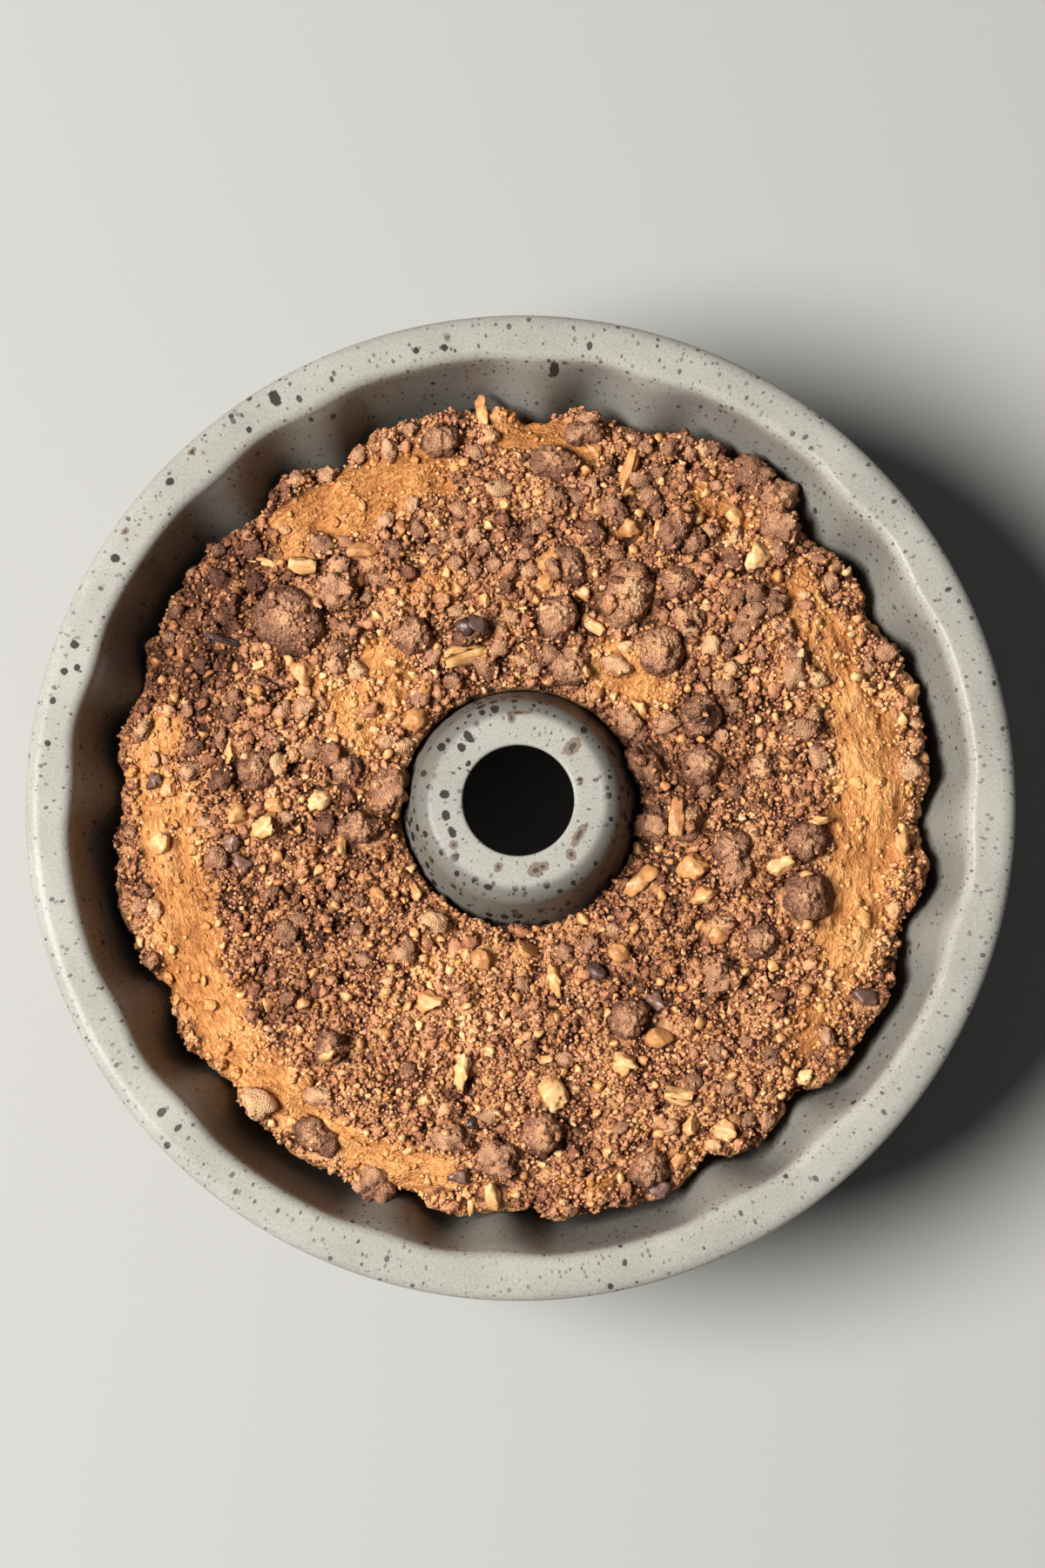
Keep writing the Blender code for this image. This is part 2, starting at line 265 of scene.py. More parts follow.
def tube_top_stations():
    """The rounded corner on the tube's top, the flat ring and the edge turned down into the hole."""
    flat = 2 * TUBE_RADIUS - corner_centre(TUBE_RADIUS, PAN_HEIGHT - TUBE_RADIUS_AT, TUBE_CORNER, TUBE_LEAN)
    stations = []
    for turn in steps(TUBE_LEAN, math.pi / 2, TUBE_TURNS):
        height = PAN_HEIGHT - TUBE_CORNER * (1.0 - math.sin(turn))
        stations.append(Station(flat + TUBE_CORNER * math.cos(turn), height, 0.0, 1.0, 0.0))
    lip = HOLE_RADIUS + HOLE_EDGE_RADIUS
    stations += [Station(radius, PAN_HEIGHT, 0.0, 1.0, 0.0) for radius in steps(flat, lip, RING_ROWS)[1:-1]]
    for turn in steps(0.0, math.pi / 2, RING_ROWS):
        radius = lip - HOLE_EDGE_RADIUS * math.sin(turn)
        height = PAN_HEIGHT - HOLE_EDGE_RADIUS * (1.0 - math.cos(turn))
        stations.append(Station(radius, height, 0.0, 1.0, 0.0))
    stations.append(Station(HOLE_RADIUS, PAN_HEIGHT - HOLE_EDGE_DROP, 0.0, 1.0, 0.0))
    return stations


def turned(stations, closed, count):
    """The section turned full circle, with its ridges raised."""
    shape = bmesh.new()
    facing = shape.verts.layers.float_vector.new("facing")
    ridge = shape.verts.layers.float.new("ridge")
    corners = []
    for station in stations:
        corner = shape.verts.new((station.radius, 0.0, station.height))
        corner[facing] = (station.across, 0.0, station.up)
        corner[ridge] = station.ridge
        corners.append(corner)
    following = corners[1:] + corners[:1] if closed else corners[1:]
    edges = [shape.edges.new(pair) for pair in zip(corners, following)]
    bmesh.ops.spin(
        shape,
        geom=corners + edges,
        cent=(0.0, 0.0, 0.0),
        axis=(0.0, 0.0, 1.0),
        angle=2.0 * math.pi,
        steps=count,
        use_merge=True,
    )
    for corner in shape.verts:
        bearing = math.atan2(corner.co.y, corner.co.x)
        rise = corner[ridge] * ridge_share(math.degrees(bearing))
        way = corner[facing]
        corner.co += rise * Vector((way.x * math.cos(bearing), way.x * math.sin(bearing), way.z))
    bmesh.ops.recalc_face_normals(shape, faces=shape.faces[:])
    return shape


def waves(spot, sizes, shift=Vector()):
    """Noise of several sizes added up. A size is a height and a closeness, larger for finer waves."""
    return sum(height * noise.noise(spot * closeness + shift) for height, closeness in sizes)


# The pan
SPECKLE_SPLIT = 0.060
SPECKLE_RING = {"lip": 0.121, "tube": 0.020}
SPECKLE_STRETCH = 1.5
SPECKLE_FALL = {"lip": 0.8, "tube": -0.35}


def speckle_place(point):
    """Where a point of the sheet lies in the speckles' own space, in which round spots come out as ovals."""
    radius = math.hypot(point.x, point.y)
    side = "lip" if radius > SPECKLE_SPLIT else "tube"
    ring = SPECKLE_RING[side]
    fall = SPECKLE_FALL[side]
    turned_down = 2.0 * (PAN_HEIGHT - point.z) if radius > LIP_CROWN_RADIUS else 0.0
    along = radius + fall * (point.z + turned_down)
    return Vector((point.x / radius * ring, point.y / radius * ring, along / SPECKLE_STRETCH))


def make_pan(material):
    wall_top = PAN_HEIGHT - SHOULDER_RADIUS * (1.0 - math.sin(WALL_LEAN))
    wall = steps(wall_top, outer_arc(SECTION_ROW)[0].height, WALL_ROWS)[1:-1]
    tube = steps(inner_arc(SECTION_ROW)[-1].height, PAN_HEIGHT - TUBE_CORNER, TUBE_ROWS)[1:-1]
    stations = lip_stations() + wall_stations(wall) + outer_arc(SECTION_ROW) + inner_arc(SECTION_ROW)[1:]
    stations += tube_stations(tube) + tube_top_stations()
    shape = turned(stations, closed=False, count=PAN_STEPS)
    lowest = min(shape.faces, key=lambda face: face.calc_center_median().z)
    if lowest.normal.z < 0.0:
        bmesh.ops.reverse_faces(shape, faces=shape.faces[:])
    bmesh.ops.solidify(shape, geom=shape.faces[:], thickness=SHEET)
    place = shape.verts.layers.float_vector.new("speckle_place")
    for corner in shape.verts:
        if corner.co.z < FOOT_REACH:
            corner.co.z = 0.0
        corner[place] = speckle_place(corner.co)
    bmesh.ops.recalc_face_normals(shape, faces=shape.faces[:])
    return finished("pan_look", shape, material, ("pan", "pan_tube"))


# Where the dough lies bare. reach is in degrees to each side, and slant is how far the band moves outwards
# for each degree of bearing.
Band = namedtuple("Band", "bearing reach distance half_width slant strength")
BARE_BANDS = rows(Band, (
    (205, 19, 93.5, 9.0, 0.25, 1.1),
    (187, 11, 92.0, 7.5, 0.0, 0.95),
    (226, 14, 96.5, 7.0, 0.1, 1.05),
    (245, 20, 97.5, 6.5, 0.0, 1.05),
    (356, 28, 90.5, 9.0, 0.0, 1.15),
    (326, 13, 94.0, 7.5, 0.0, 0.62),
    (117, 19, 92.5, 8.5, 0.0, 1.05),
    (86, 11, 98.0, 5.0, 0.0, 1.0),
    (172, 9, 94.0, 5.5, 0.0, 0.85),
    (50, 17, 43.5, 6.5, 0.0, 0.95),
    (145, 20, 49.0, 10.0, 0.0, 0.85),
    (25, 20, 90.0, 9.0, 0.0, 0.80),
    (32, 10, 76.0, 6.0, 0.0, 0.5),
    (56, 7, 92.0, 6.0, 0.0, 0.7),
    (112, 8, 62.0, 5.0, 0.0, 0.6),
    (290, 20, 100.0, 4.0, 0.0, 0.55),
    (150, 10, 64.0, 5.0, 0.0, 0.55),
    (245, 16, 48.0, 8.0, 0.0, 0.5),
    (105, 8, 41.0, 4.0, 0.0, 0.5),
    (78, 10, 57.0, 4.0, 0.0, 0.4),
))

# Where the crumbs are darker or lighter than elsewhere
Zone = namedtuple("Zone", "bearing reach distance half_width tone slant", defaults=(0.0,))
ZONES = rows(Zone, (
    (147, 19, 97, 12, -0.40),
    (165, 18, 78, 9, -0.10),
    (212, 20, 68, 18, -0.12),
    (247, 22, 50, 14, 0.17),
    (290, 20, 80, 17, 0.05),
    (328, 28, 45, 13, -0.12),
    (14, 18, 42, 16, -0.16),
    (30, 22, 86, 14, 0.02),
    (150, 24, 50, 12, 0.14),
    (75, 22, 75, 16, -0.06),
    (192, 14, 40, 10, -0.18),
    (356, 30, 92, 11, 0.16),
    (238, 24, 97, 8, 0.12),
    (50, 17, 43, 8, 0.22),
))


# Where a band fades out, in shares of its reach to each side and of its half width
BAND_ENDS = (0.6, 1.15)
BAND_SIDES = (0.4, 1.6)


def faded(aside, half, ends):
    """1 in the middle of a band and 0 past its soft edge."""
    return 1.0 - smooth(abs(aside), ends[0] * half, ends[1] * half)


def band_share(bearing, distance, band):
    """How much of a band is felt at a place, from 0 to 1. distance is in metres."""
    aside = apart(bearing, band.bearing)
    middle = band.distance + band.slant * aside
    along = faded(aside, band.reach, BAND_ENDS)
    return along * faded(distance / MM - middle, band.half_width, BAND_SIDES)


# How the borders of the bands wander, and the patches of lighter and darker topping
BORDER_DRIFT = ((0.0035, 42.0),)
BORDER_RAGGED = ((0.36, 115.0), (0.34, 330.0))
BORDER_BETWEEN = (0.22, 0.85)
PATCHES = ((0.20, 75.0),)
PATCHES_FROM = Vector((5.0, 0.0, 0.0))
FINE_PATCHES = ((0.14, 210.0),)
MIDDLE_TONE = 0.5


def topped(bearing, distance):
    """How much of the dough is under crumbs at a place, from 0 to 1."""
    spot = at(bearing, distance)
    drifted = distance + waves(spot, BORDER_DRIFT)
    bare = max(band.strength * band_share(bearing, drifted, band) for band in BARE_BANDS)
    return 1.0 - smooth(bare + waves(spot, BORDER_RAGGED), *BORDER_BETWEEN)


def zone_tone(bearing, distance):
    """How much lighter than usual the topping is at a place."""
    spot = at(bearing, distance)
    patches = waves(spot, PATCHES, PATCHES_FROM) + waves(spot, FINE_PATCHES)
    return patches + sum(zone.tone * band_share(bearing, distance, zone) for zone in ZONES)


EDGE_DRAW_LEAST = 0.0003
EDGE_DRAW = 0.0017
EDGE_UNEVEN = ((0.0009, 62.0), (0.0008, 190.0), (0.0006, 470.0))


def edge_draw(bearing):
    """How far the baked edge has drawn in from the frame's, least at the ridges and uneven all round."""
    draw = EDGE_DRAW_LEAST + EDGE_DRAW * (1.0 - ridge_share(bearing))
    return max(0.0, draw + waves(at(bearing, WALL_RADIUS), EDGE_UNEVEN))


def cake_reach(bearing):
    """The radius of the cake's top edge."""
    edge = wall_stations((CAKE_EDGE,), WALL_GAP)[0]
    return edge.radius - edge.ridge * ridge_share(bearing) - edge_draw(bearing)


KNOB_STEEPNESS = 2.6


def dome(spot):
    """Rounded knobs packed side by side, from about -1 between them to 1 on top."""
    near = noise.voronoi(spot)[0][0]
    return 1.0 - KNOB_STEEPNESS * near * near


def bump(x, y):
    return BUMP_HEIGHT * noise.noise(Vector((x, y, 0.0)) * BUMP_SCALE)


FOLD_RING = 0.095
FOLD_CLOSENESS = 3.2
FOLD_DRIFT = ((0.010, 90.0),)
FOLD_WAVES = ((0.55, 150.0), (0.45, 330.0))


def fold_place(bearing, distance):
    """Where a place lies in the folds' own space, in which they run round the ring."""
    return at(bearing, FOLD_RING, FOLD_CLOSENESS * distance)


def folds(bearing, distance):
    """The fine wrinkles of bare dough."""
    drift = Vector((0.0, 0.0, waves(at(bearing, distance), FOLD_DRIFT)))
    return waves(fold_place(bearing, distance) + drift, FOLD_WAVES)


# The relief of the crust: height and closeness of each size of it
SWELL = (0.0018, 105.0)
KNOBS = (0.0013, 215.0)
GRAINS = (0.00050, 520.0)
SOFT_KNOBS = (0.00030, 300.0)
FOLD_HEIGHT = 0.0014
SOFT_UNDER_CRUMBS = 0.1
HEAP_SWELL = 0.8
HEAP_BETWEEN = (-0.7, 0.7)
Pit = namedtuple("Pit", "bearing distance width depth")
PIT = Pit(206.9, 0.0572, 0.0013, 0.0034)


def heap(spot):
    """1 on top of the heaps of topping and 0 in the hollows between them."""
    return smooth(dome(spot * KNOBS[1]) + HEAP_SWELL * noise.noise(spot * SWELL[1]), *HEAP_BETWEEN)


def knobbed(spot, size):
    """Knobs of one height and closeness."""
    return size[0] * dome(spot * size[1])


def crust_rise(spot, share, bearing, distance):
    """How far the crust stands out at a place."""
    rough = share * (knobbed(spot, KNOBS) + knobbed(spot, GRAINS))
    soft = knobbed(spot, SOFT_KNOBS) + FOLD_HEIGHT * folds(bearing, distance)
    shown = 1.0 - (1.0 - SOFT_UNDER_CRUMBS) * share
    return waves(spot, (SWELL,)) + rough + shown * soft - pit(spot)


def pit(spot):
    """A small deep hole in the topping."""
    middle = at(PIT.bearing, PIT.distance)
    aside = math.hypot(spot.x - middle.x, spot.y - middle.y) / PIT.width
    return PIT.depth * math.exp(-aside * aside)


FINE_TURNS = 1500
SIDE_STARTS = CAKE_EDGE - 0.002


def crown_section():
    """The crown's section from the wall to the tube, in even rows."""
    edge = wall_stations((CAKE_EDGE,), WALL_GAP)[0]
    outer = edge.radius
    inner = tube_stations((TUBE_RADIUS_AT,), TUBE_GAP)[0].radius
    fine = []
    for turn in steps(0.0, math.pi, FINE_TURNS):
        radius = (outer + inner) / 2 + (outer - inner) / 2 * math.cos(turn)
        height = CAKE_EDGE + CAKE_DOME * abs(math.sin(turn)) ** DOME_ROUNDNESS
        ridge = edge.ridge * max(0.0, math.cos(turn)) ** (1.0 / RIDGE_FADE)
        fine.append(Station(radius, height, -1.0, 0.0, ridge))
    stations = [fine[0]]
    for station in fine[1:]:
        last = stations[-1]
        if math.hypot(station.radius - last.radius, station.height - last.height) >= CROWN_ROW:
            stations.append(station)
    return stations


def body_section():
    """The cake's side, underside and inner side, from the tube's edge of the crown round to the wall's."""
    stations = []
    for height in steps(SIDE_STARTS, MID_WALL, SIDE_ROWS):
        gap = MID_WALL_GAP + (WALL_GAP - MID_WALL_GAP) * (height - MID_WALL) / (CAKE_EDGE - MID_WALL)
        stations += wall_stations((height,), gap)
    outer = outer_arc(BODY_ROW, SEAT_GAP)
    inner = inner_arc(BODY_ROW, SEAT_GAP)
    for height in steps(MID_WALL, outer[0].height, LOW_SIDE_ROWS)[1:-1]:
        gap = SEAT_GAP + (MID_WALL_GAP - SEAT_GAP) * (height - outer[0].height) / (MID_WALL - outer[0].height)
        stations += wall_stations((height,), gap)
    stations += outer + inner
    for height in steps(inner[-1].height, CAKE_EDGE, INNER_ROWS)[1:]:
        gap = SEAT_GAP + (TUBE_GAP - SEAT_GAP) * (height - inner[-1].height) / (CAKE_EDGE - inner[-1].height)
        stations += tube_stations((height,), gap)
    return stations[::-1]


# The edge is drawn in from these distances and this level on, and the relief fades out beside the tube. The
# crown is all that lies higher than a little below the cake's edge.
CROWN_FOOT = CAKE_EDGE - 0.0003
DRAWN_FROM = 0.090
EDGE_FULL = 0.106
DRAWN_ABOVE = 0.035
TUBE_SIDE = 0.0310
TUBE_SIDE_FULL = 0.0328


def make_cake(material):
    """The whole cake as one closed mesh, finest on its crown."""
    shape = turned(crown_section() + body_section(), closed=True, count=CAKE_STEPS)
    top = [edge for edge in shape.edges if all(corner.co.z > CROWN_FOOT for corner in edge.verts)]
    bmesh.ops.subdivide_edges(shape, edges=top, cuts=1, use_grid_fill=True)
    bmesh.ops.recalc_face_normals(shape, faces=shape.faces[:])
    shape.normal_update()
    covered = shape.verts.layers.float.new("topped")
    tone = shape.verts.layers.float.new("tone")
    rise = shape.verts.layers.float.new("rise")
    way = shape.verts.layers.float_vector.new("fold_place")
    moves = []
    for corner in shape.verts:
        bearing = math.degrees(math.atan2(corner.co.y, corner.co.x))
        distance = math.hypot(corner.co.x, corner.co.y)
        share = topped(bearing, distance)
        corner[covered] = share
        corner[tone] = MIDDLE_TONE + zone_tone(bearing, distance)
        corner[way] = fold_place(bearing, distance)
        outer = smooth(distance, DRAWN_FROM, EDGE_FULL) * smooth(corner.co.z, DRAWN_ABOVE, CAKE_EDGE)
        move = at(bearing, -edge_draw(bearing) * outer) if outer else Vector()
        if corner.co.z > CROWN_FOOT:
            high = crust_rise(corner.co, share, bearing, distance)
            # The crust's height, which its finish also turns into painted shade, darker in the hollows
            corner[rise] = high / MM
            by_tube = smooth(distance, TUBE_SIDE, TUBE_SIDE_FULL)
            move += corner.normal * high * by_tube
            move.z += bump(corner.co.x, corner.co.y) * by_tube
        moves.append((corner, move))
    for corner, move in moves:
        corner.co += move
    return finished("cake_look", shape, material, ("cake",))


# How much the tone of clumps and crumbs is raised towards their tops and lowered towards their sides and
# undersides: painted shade, as if lit from above
PAINTED_SHADE_BY_HEIGHT = 0.60

# The clumps that are nodes of their own
LARGEST_CLUMPS = ("clump_01", "clump_02", "clump_03")
CLUMP_GROWTH = 1.08
CLUMP_HEIGHTENING = 1.36
CLUMP_LIFT = 0.0010
CLUMP_SOFTENING = 9
SOFTENED_SHARES = (0.4, 0.6)
CLUMP_TONES = {"clump_01": 0.56, "clump_02": 0.76, "clump_03": 0.70}
CLUMP_TONE = 0.54
CLUMP_TONE_SPREAD = 0.2
CLUMP_RELIEF = ((0.0011, 240.0), (0.0007, 620.0))
CLUMP_GRAINS = (0.00030, 1150.0)
CLUMP_RELIEF_SHADE = 0.12
LARGE_CLUMP_RELIEF = 0.6
# The upward share of a clump's surface direction at which the painted shade neither lightens nor darkens it
CLUMP_PAINTED_SHADE_LEVEL = 0.7


def ball(subdivisions, radius):
    shape = bmesh.new()
    bmesh.ops.create_icosphere(shape, subdivisions=subdivisions, radius=radius)
    return shape


def outline_reach(node, shape, middle):
    """How far the frame's clump reaches towards each corner of a ball, with its edges softened."""
    source = bpy.data.objects[node].data
    faces = [face.vertices[:] for face in source.polygons]
    tree = BVHTree.FromPolygons([corner.co.copy() for corner in source.vertices], faces)
    reach = []
    for corner in shape.verts:
        hit = tree.ray_cast(middle, corner.co.normalized())[0]
        reach.append((hit - middle).length)
    beside = [[edge.other_vert(corner).index for edge in corner.link_edges] for corner in shape.verts]
    own_share, beside_share = SOFTENED_SHARES
    for _ in range(CLUMP_SOFTENING):
        around = [sum(reach[index] for index in near) / len(near) for near in beside]
        reach = [own_share * own + beside_share * mean for own, mean in zip(reach, around)]
    return reach


def make_clump(node, material):
    """A baked lump of crumbs over one of the frame's clumps."""
    seed = int(node[-2:])
    large = node in LARGEST_CLUMPS
    low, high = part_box(node)
    middle = (low + high) / 2
    shape = ball(6 if large else 5, 1.0)
    shape.verts.ensure_lookup_table()
    shape.verts.index_update()
    tone = shape.verts.layers.float.new("tone")
    usual = CLUMP_TONE + CLUMP_TONE_SPREAD * noise.noise(Vector((seed * 3.3, 0.0, 0.0)))
    base = CLUMP_TONES.get(node, usual)
    uneven = LARGE_CLUMP_RELIEF if large else 1.0
    for corner, reach in zip(shape.verts, outline_reach(node, shape, middle)):
        way = corner.co.normalized()
        spot = middle + way * reach + Vector((seed * 0.31, 0.0, 0.0))
        relief = uneven * waves(spot, CLUMP_RELIEF)
        grain = dome(spot * CLUMP_GRAINS[1])
        # Painted shade: on top of its own tone, the clump is paler on its knobs and raised relief and darker
        # in the hollows between them
        shade = base + CLUMP_RELIEF_SHADE * grain + CLUMP_RELIEF_SHADE * relief / CLUMP_RELIEF[0][0]
        # Painted shade: the tone is paler towards the top of the clump and darker towards its underside
        corner[tone] = shade + PAINTED_SHADE_BY_HEIGHT * (way.z - CLUMP_PAINTED_SHADE_LEVEL)
        corner.co = middle + way * (reach * CLUMP_GROWTH + relief + CLUMP_GRAINS[0] * grain)
        corner.co.z = middle.z + CLUMP_HEIGHTENING * (corner.co.z - middle.z) + CLUMP_LIFT * max(0.0, way.z)
    return finished(node + "_look", shape, material, (node,))


# Small shapes that are scattered. Each is about 1 across, and a joined mesh takes many copies of them.
def triangles(shape):
    """The corners and triangles of a shape as arrays."""
    bmesh.ops.triangulate(shape, faces=shape.faces[:])
    bmesh.ops.recalc_face_normals(shape, faces=shape.faces[:])
    shape.verts.index_update()
    corners = np.array([corner.co[:] for corner in shape.verts])
    faces = np.array([[corner.index for corner in face.verts] for face in shape.faces])
    shape.free()
    return corners, faces


def shifted(rng, ways):
    """A random place in the noise, so that no two shapes are alike."""
    return Vector([rng.uniform(0, 50) for _ in range(ways)] + [0.0] * (3 - ways))


# How uneven the small shapes are, and how narrow and low beside their length
CRUMB_UNEVEN = 0.46
CRUMB_LOBES = 1.9
CRUMB_NARROW = 0.82
CLUMP_BODY = ((0.44, 1.1), (0.32, 2.4))
CLUMP_ROUGH = 0.04
CLUMP_KNOBS = 0.18
CLUMP_NARROW = 0.85
CLUMP_LOW = 0.78
CHIP_UNEVEN = ((0.36, 4.0), (0.34, 9.0))
CHIP_BREAKS = (0.22, 0.38)
CHIP_LOW = 0.85
KERNEL_LOBES = ((0.30, 2.0), (0.14, 5.0))
KERNEL_BREAK = 0.30
KERNEL_FURROW = 0.30
KERNEL_FURROW_WIDTH = 0.02
KERNEL_LOW = 0.7
CURL_BEND = 0.9
CURL_TAPER = 1.1
CURL_WOBBLE = (0.16, 2.2)
CURL_WIDE = 0.62
CURL_THICK = 0.26


def crumb_shape(rng, subdivisions, high):
    """An angular crumb with uneven sides."""
    shape = ball(subdivisions, 0.5)
    shift = shifted(rng, 2)
    for corner in shape.verts:
        way = corner.co.normalized()
        lobes = 1.0 + CRUMB_UNEVEN * noise.noise(way * CRUMB_LOBES + shift)
        corner.co *= lobes + 0.5 * CRUMB_UNEVEN * rng.uniform(-1, 1)
        corner.co.y *= CRUMB_NARROW
        corner.co.z *= high
    return triangles(shape)


def clump_shape(rng, subdivisions, grains):
    """A small clump that looks pressed together from crumbs."""
    shape = ball(subdivisions, 0.5)
    shift = shifted(rng, 2)
    for corner in shape.verts:
        way = corner.co.normalized()
        high = waves(way, CLUMP_BODY, shift)
        high += CLUMP_KNOBS * dome(way * grains + shift) + CLUMP_ROUGH * rng.uniform(-1, 1)
        corner.co *= 1.0 + high
        corner.co.y *= CLUMP_NARROW
        corner.co.z *= CLUMP_LOW
    return triangles(shape)


def any_way(rng, upright=1.0):
    """A direction that could be any, or nearer to level where upright is under 1."""
    return Vector((rng.gauss(0, 1), rng.gauss(0, 1), rng.gauss(0, upright))).normalized()


def broken_back(corner, breaks):
    """Moves a corner back onto each flat break that it lies beyond."""
    for side, depth in breaks:
        beyond = corner.co.dot(side) - depth
        if beyond > 0.0:
            corner.co -= side * beyond


def chip_shape(rng, subdivisions):
    """A chip of nut with flat breaks and worn edges."""
    shape = ball(subdivisions, 0.5)
    shift = shifted(rng, 1)
    breaks = [(any_way(rng), rng.uniform(*CHIP_BREAKS)) for _ in range(8)]
    for corner in shape.verts:
        broken_back(corner, breaks)
        corner.co *= 1.0 + waves(corner.co, CHIP_UNEVEN, shift)
        corner.co.z *= CHIP_LOW
    return triangles(shape)


def kernel_shape(rng):
    """A broken piece of kernel with lobes, a furrow and flat breaks."""
    shape = ball(3, 0.5)
    shift = shifted(rng, 1)
    breaks = [(any_way(rng, 0.6), KERNEL_BREAK) for _ in range(4)]
    for corner in shape.verts:
        way = corner.co.normalized()
        beside = way.y + 0.3 * math.sin(5.0 * way.x)
        furrow = math.exp(-(beside ** 2) / KERNEL_FURROW_WIDTH) * smooth(way.z, -0.2, 0.5)
        corner.co *= 1.0 - KERNEL_FURROW * furrow + waves(way, KERNEL_LOBES, shift)
        broken_back(corner, breaks)
        corner.co.z *= KERNEL_LOW
    return triangles(shape)


def curl_shape(rng):
    """A bent flake of nut."""
    shape = bmesh.new()
    bmesh.ops.create_cube(shape, size=1.0)
    bmesh.ops.subdivide_edges(shape, edges=shape.edges[:], cuts=3, use_grid_fill=True)
    shift = shifted(rng, 1)
    for corner in shape.verts:
        x, y, z = corner.co
        bend = CURL_BEND * x * x
        narrow = 1.0 - CURL_TAPER * x * x
        wobble = waves(corner.co, (CURL_WOBBLE,), shift)
        corner.co = Vector((x, CURL_WIDE * y * narrow + wobble, CURL_THICK * z + bend * 0.55 + wobble))
    return triangles(shape)


# The height within a piece, in its own sizes, at which the painted shade neither lightens nor darkens it
PIECE_PAINTED_SHADE_LEVEL = 0.2


def joined(name, shapes, places, material):
    """Many copies of a few shapes as one mesh. A place is (shape, matrix, point, tone)."""
    corners, faces, tones, total = [], [], [], 0
    for index, (outline, sides) in enumerate(shapes):
        chosen = [place for place in places if place[0] == index]
        if not chosen:
            continue
        turns = np.array([place[1] for place in chosen])
        points = np.array([place[2] for place in chosen])
        copies = np.einsum("nij,vj->nvi", turns, outline) + points[:, None, :]
        shifts = total + np.arange(len(chosen)) * len(outline)
        corners.append(copies.reshape(-1, 3))
        faces.append((sides[None] + shifts[:, None, None]).reshape(-1, 3))
        sizes = np.linalg.norm(turns, axis=1).mean(axis=1)
        # Painted shade: each copy's tone is paler towards its top and darker towards its underside
        above = (copies[:, :, 2] - points[:, None, 2]) / sizes[:, None]
        own = np.array([place[3] for place in chosen])[:, None]
        tones.append((own + PAINTED_SHADE_BY_HEIGHT * (above - PIECE_PAINTED_SHADE_LEVEL)).ravel())
        total += len(chosen) * len(outline)
    corners, faces, tones = np.concatenate(corners), np.concatenate(faces), np.concatenate(tones)
    mesh = bpy.data.meshes.new(name)
    mesh.vertices.add(len(corners))
    mesh.vertices.foreach_set("co", corners.astype(np.float32).ravel())
    mesh.loops.add(3 * len(faces))
    mesh.loops.foreach_set("vertex_index", faces.astype(np.int32).ravel())
    mesh.polygons.add(len(faces))
    mesh.polygons.foreach_set("loop_start", np.arange(len(faces), dtype=np.int32) * 3)
    mesh.update(calc_edges=True)
    mesh.attributes.new("tone", "FLOAT", "POINT").data.foreach_set("value", tones.astype(np.float32))
    mesh.materials.append(material)
    return as_piece(name, mesh)


def tree_of(pieces):
    """The surfaces of these pieces together, for finding where something dropped on them lands."""
    corners, faces = [], []
    for piece in pieces:
        mesh = piece.data
        first = len(corners)
        corners += [corner.co.copy() for corner in mesh.vertices]
        faces += [[first + index for index in face.vertices] for face in mesh.polygons]
    return BVHTree.FromPolygons(corners, faces)


COVER_CELL = 0.0006
ON_TOP_CHANCE = 0.03
TUBE_SIDE_CLEAR = 0.0312
CAKE_REACH_MOST = 0.109


def under(spots, share):
    """The cells of a fine grid that lie under round pieces, given as (x, y, size)."""
    cells = set()
    for x, y, size in spots:
        reach = share * size / 2
        count = int(reach // COVER_CELL) + 1
        for i in range(-count, count + 1):
            for j in range(-count, count + 1):
                if math.hypot(i, j) * COVER_CELL < reach:
                    cells.add((round(x / COVER_CELL) + i, round(y / COVER_CELL) + j))
    return cells


RIM_SHARE = 0.42
SMALL_ENOUGH = 0.0018
OFF_EDGE_SHARE = 0.4


def lies_clear(spot, size, covered):
    """Whether the middle of a piece, and of a large one its rim too, is off what is covered."""
    points = [spot]
    if size > SMALL_ENOUGH:
        points += [spot + at(turn, RIM_SHARE * size) for turn in range(0, 360, 60)]
    return not any((round(point.x / COVER_CELL), round(point.y / COVER_CELL)) in covered for point in points)


def thrown(rng, limit, tries, sizes, share, closeness, covered=frozenset(), spill=0.0):
    """Loose pieces side by side on the crown, as (x, y, size). Few land on what is covered already."""
    cell = sizes[1]
    taken = {}
    spots = []
    for _ in range(tries):
        distance = math.sqrt(rng.uniform(TUBE_SIDE_CLEAR ** 2, CAKE_REACH_MOST ** 2))
        bearing = rng.uniform(0.0, 360.0)
        size = rng.triangular(*sizes)
        spot = at(bearing, distance)
        if rng.random() > share(bearing, distance):
            continue
        if not lies_clear(spot, size, covered) and rng.random() > ON_TOP_CHANCE:
            continue
        inset = OFF_EDGE_SHARE * size
        if not TUBE_SIDE_CLEAR + inset < distance < cake_reach(bearing) + spill - inset:
            continue
        column, row = int(spot.x // cell), int(spot.y // cell)
        around = [(column + i, row + j) for i in (-1, 0, 1) for j in (-1, 0, 1)]
        beside = [other for key in around for other in taken.get(key, ())]
        if any(math.hypot(spot.x - x, spot.y - y) < closeness * (size + other) / 2 for x, y, other in beside):
            continue
        taken.setdefault((column, row), []).append((spot.x, spot.y, size))
        spots.append((spot.x, spot.y, size))
        if len(spots) == limit:
            break
    return spots


DROPPED_FROM = 0.2


def surface_below(ground, x, y):
    """The point and the normal where something dropped from above would land."""
    return ground.ray_cast(Vector((x, y, DROPPED_FROM)), Vector((0.0, 0.0, -1.0)))[:2]


def tumbled(rng):
    """A turn that could be any."""
    way = any_way(rng)
    return Matrix.Rotation(rng.uniform(0.0, 2.0 * math.pi), 3, way)


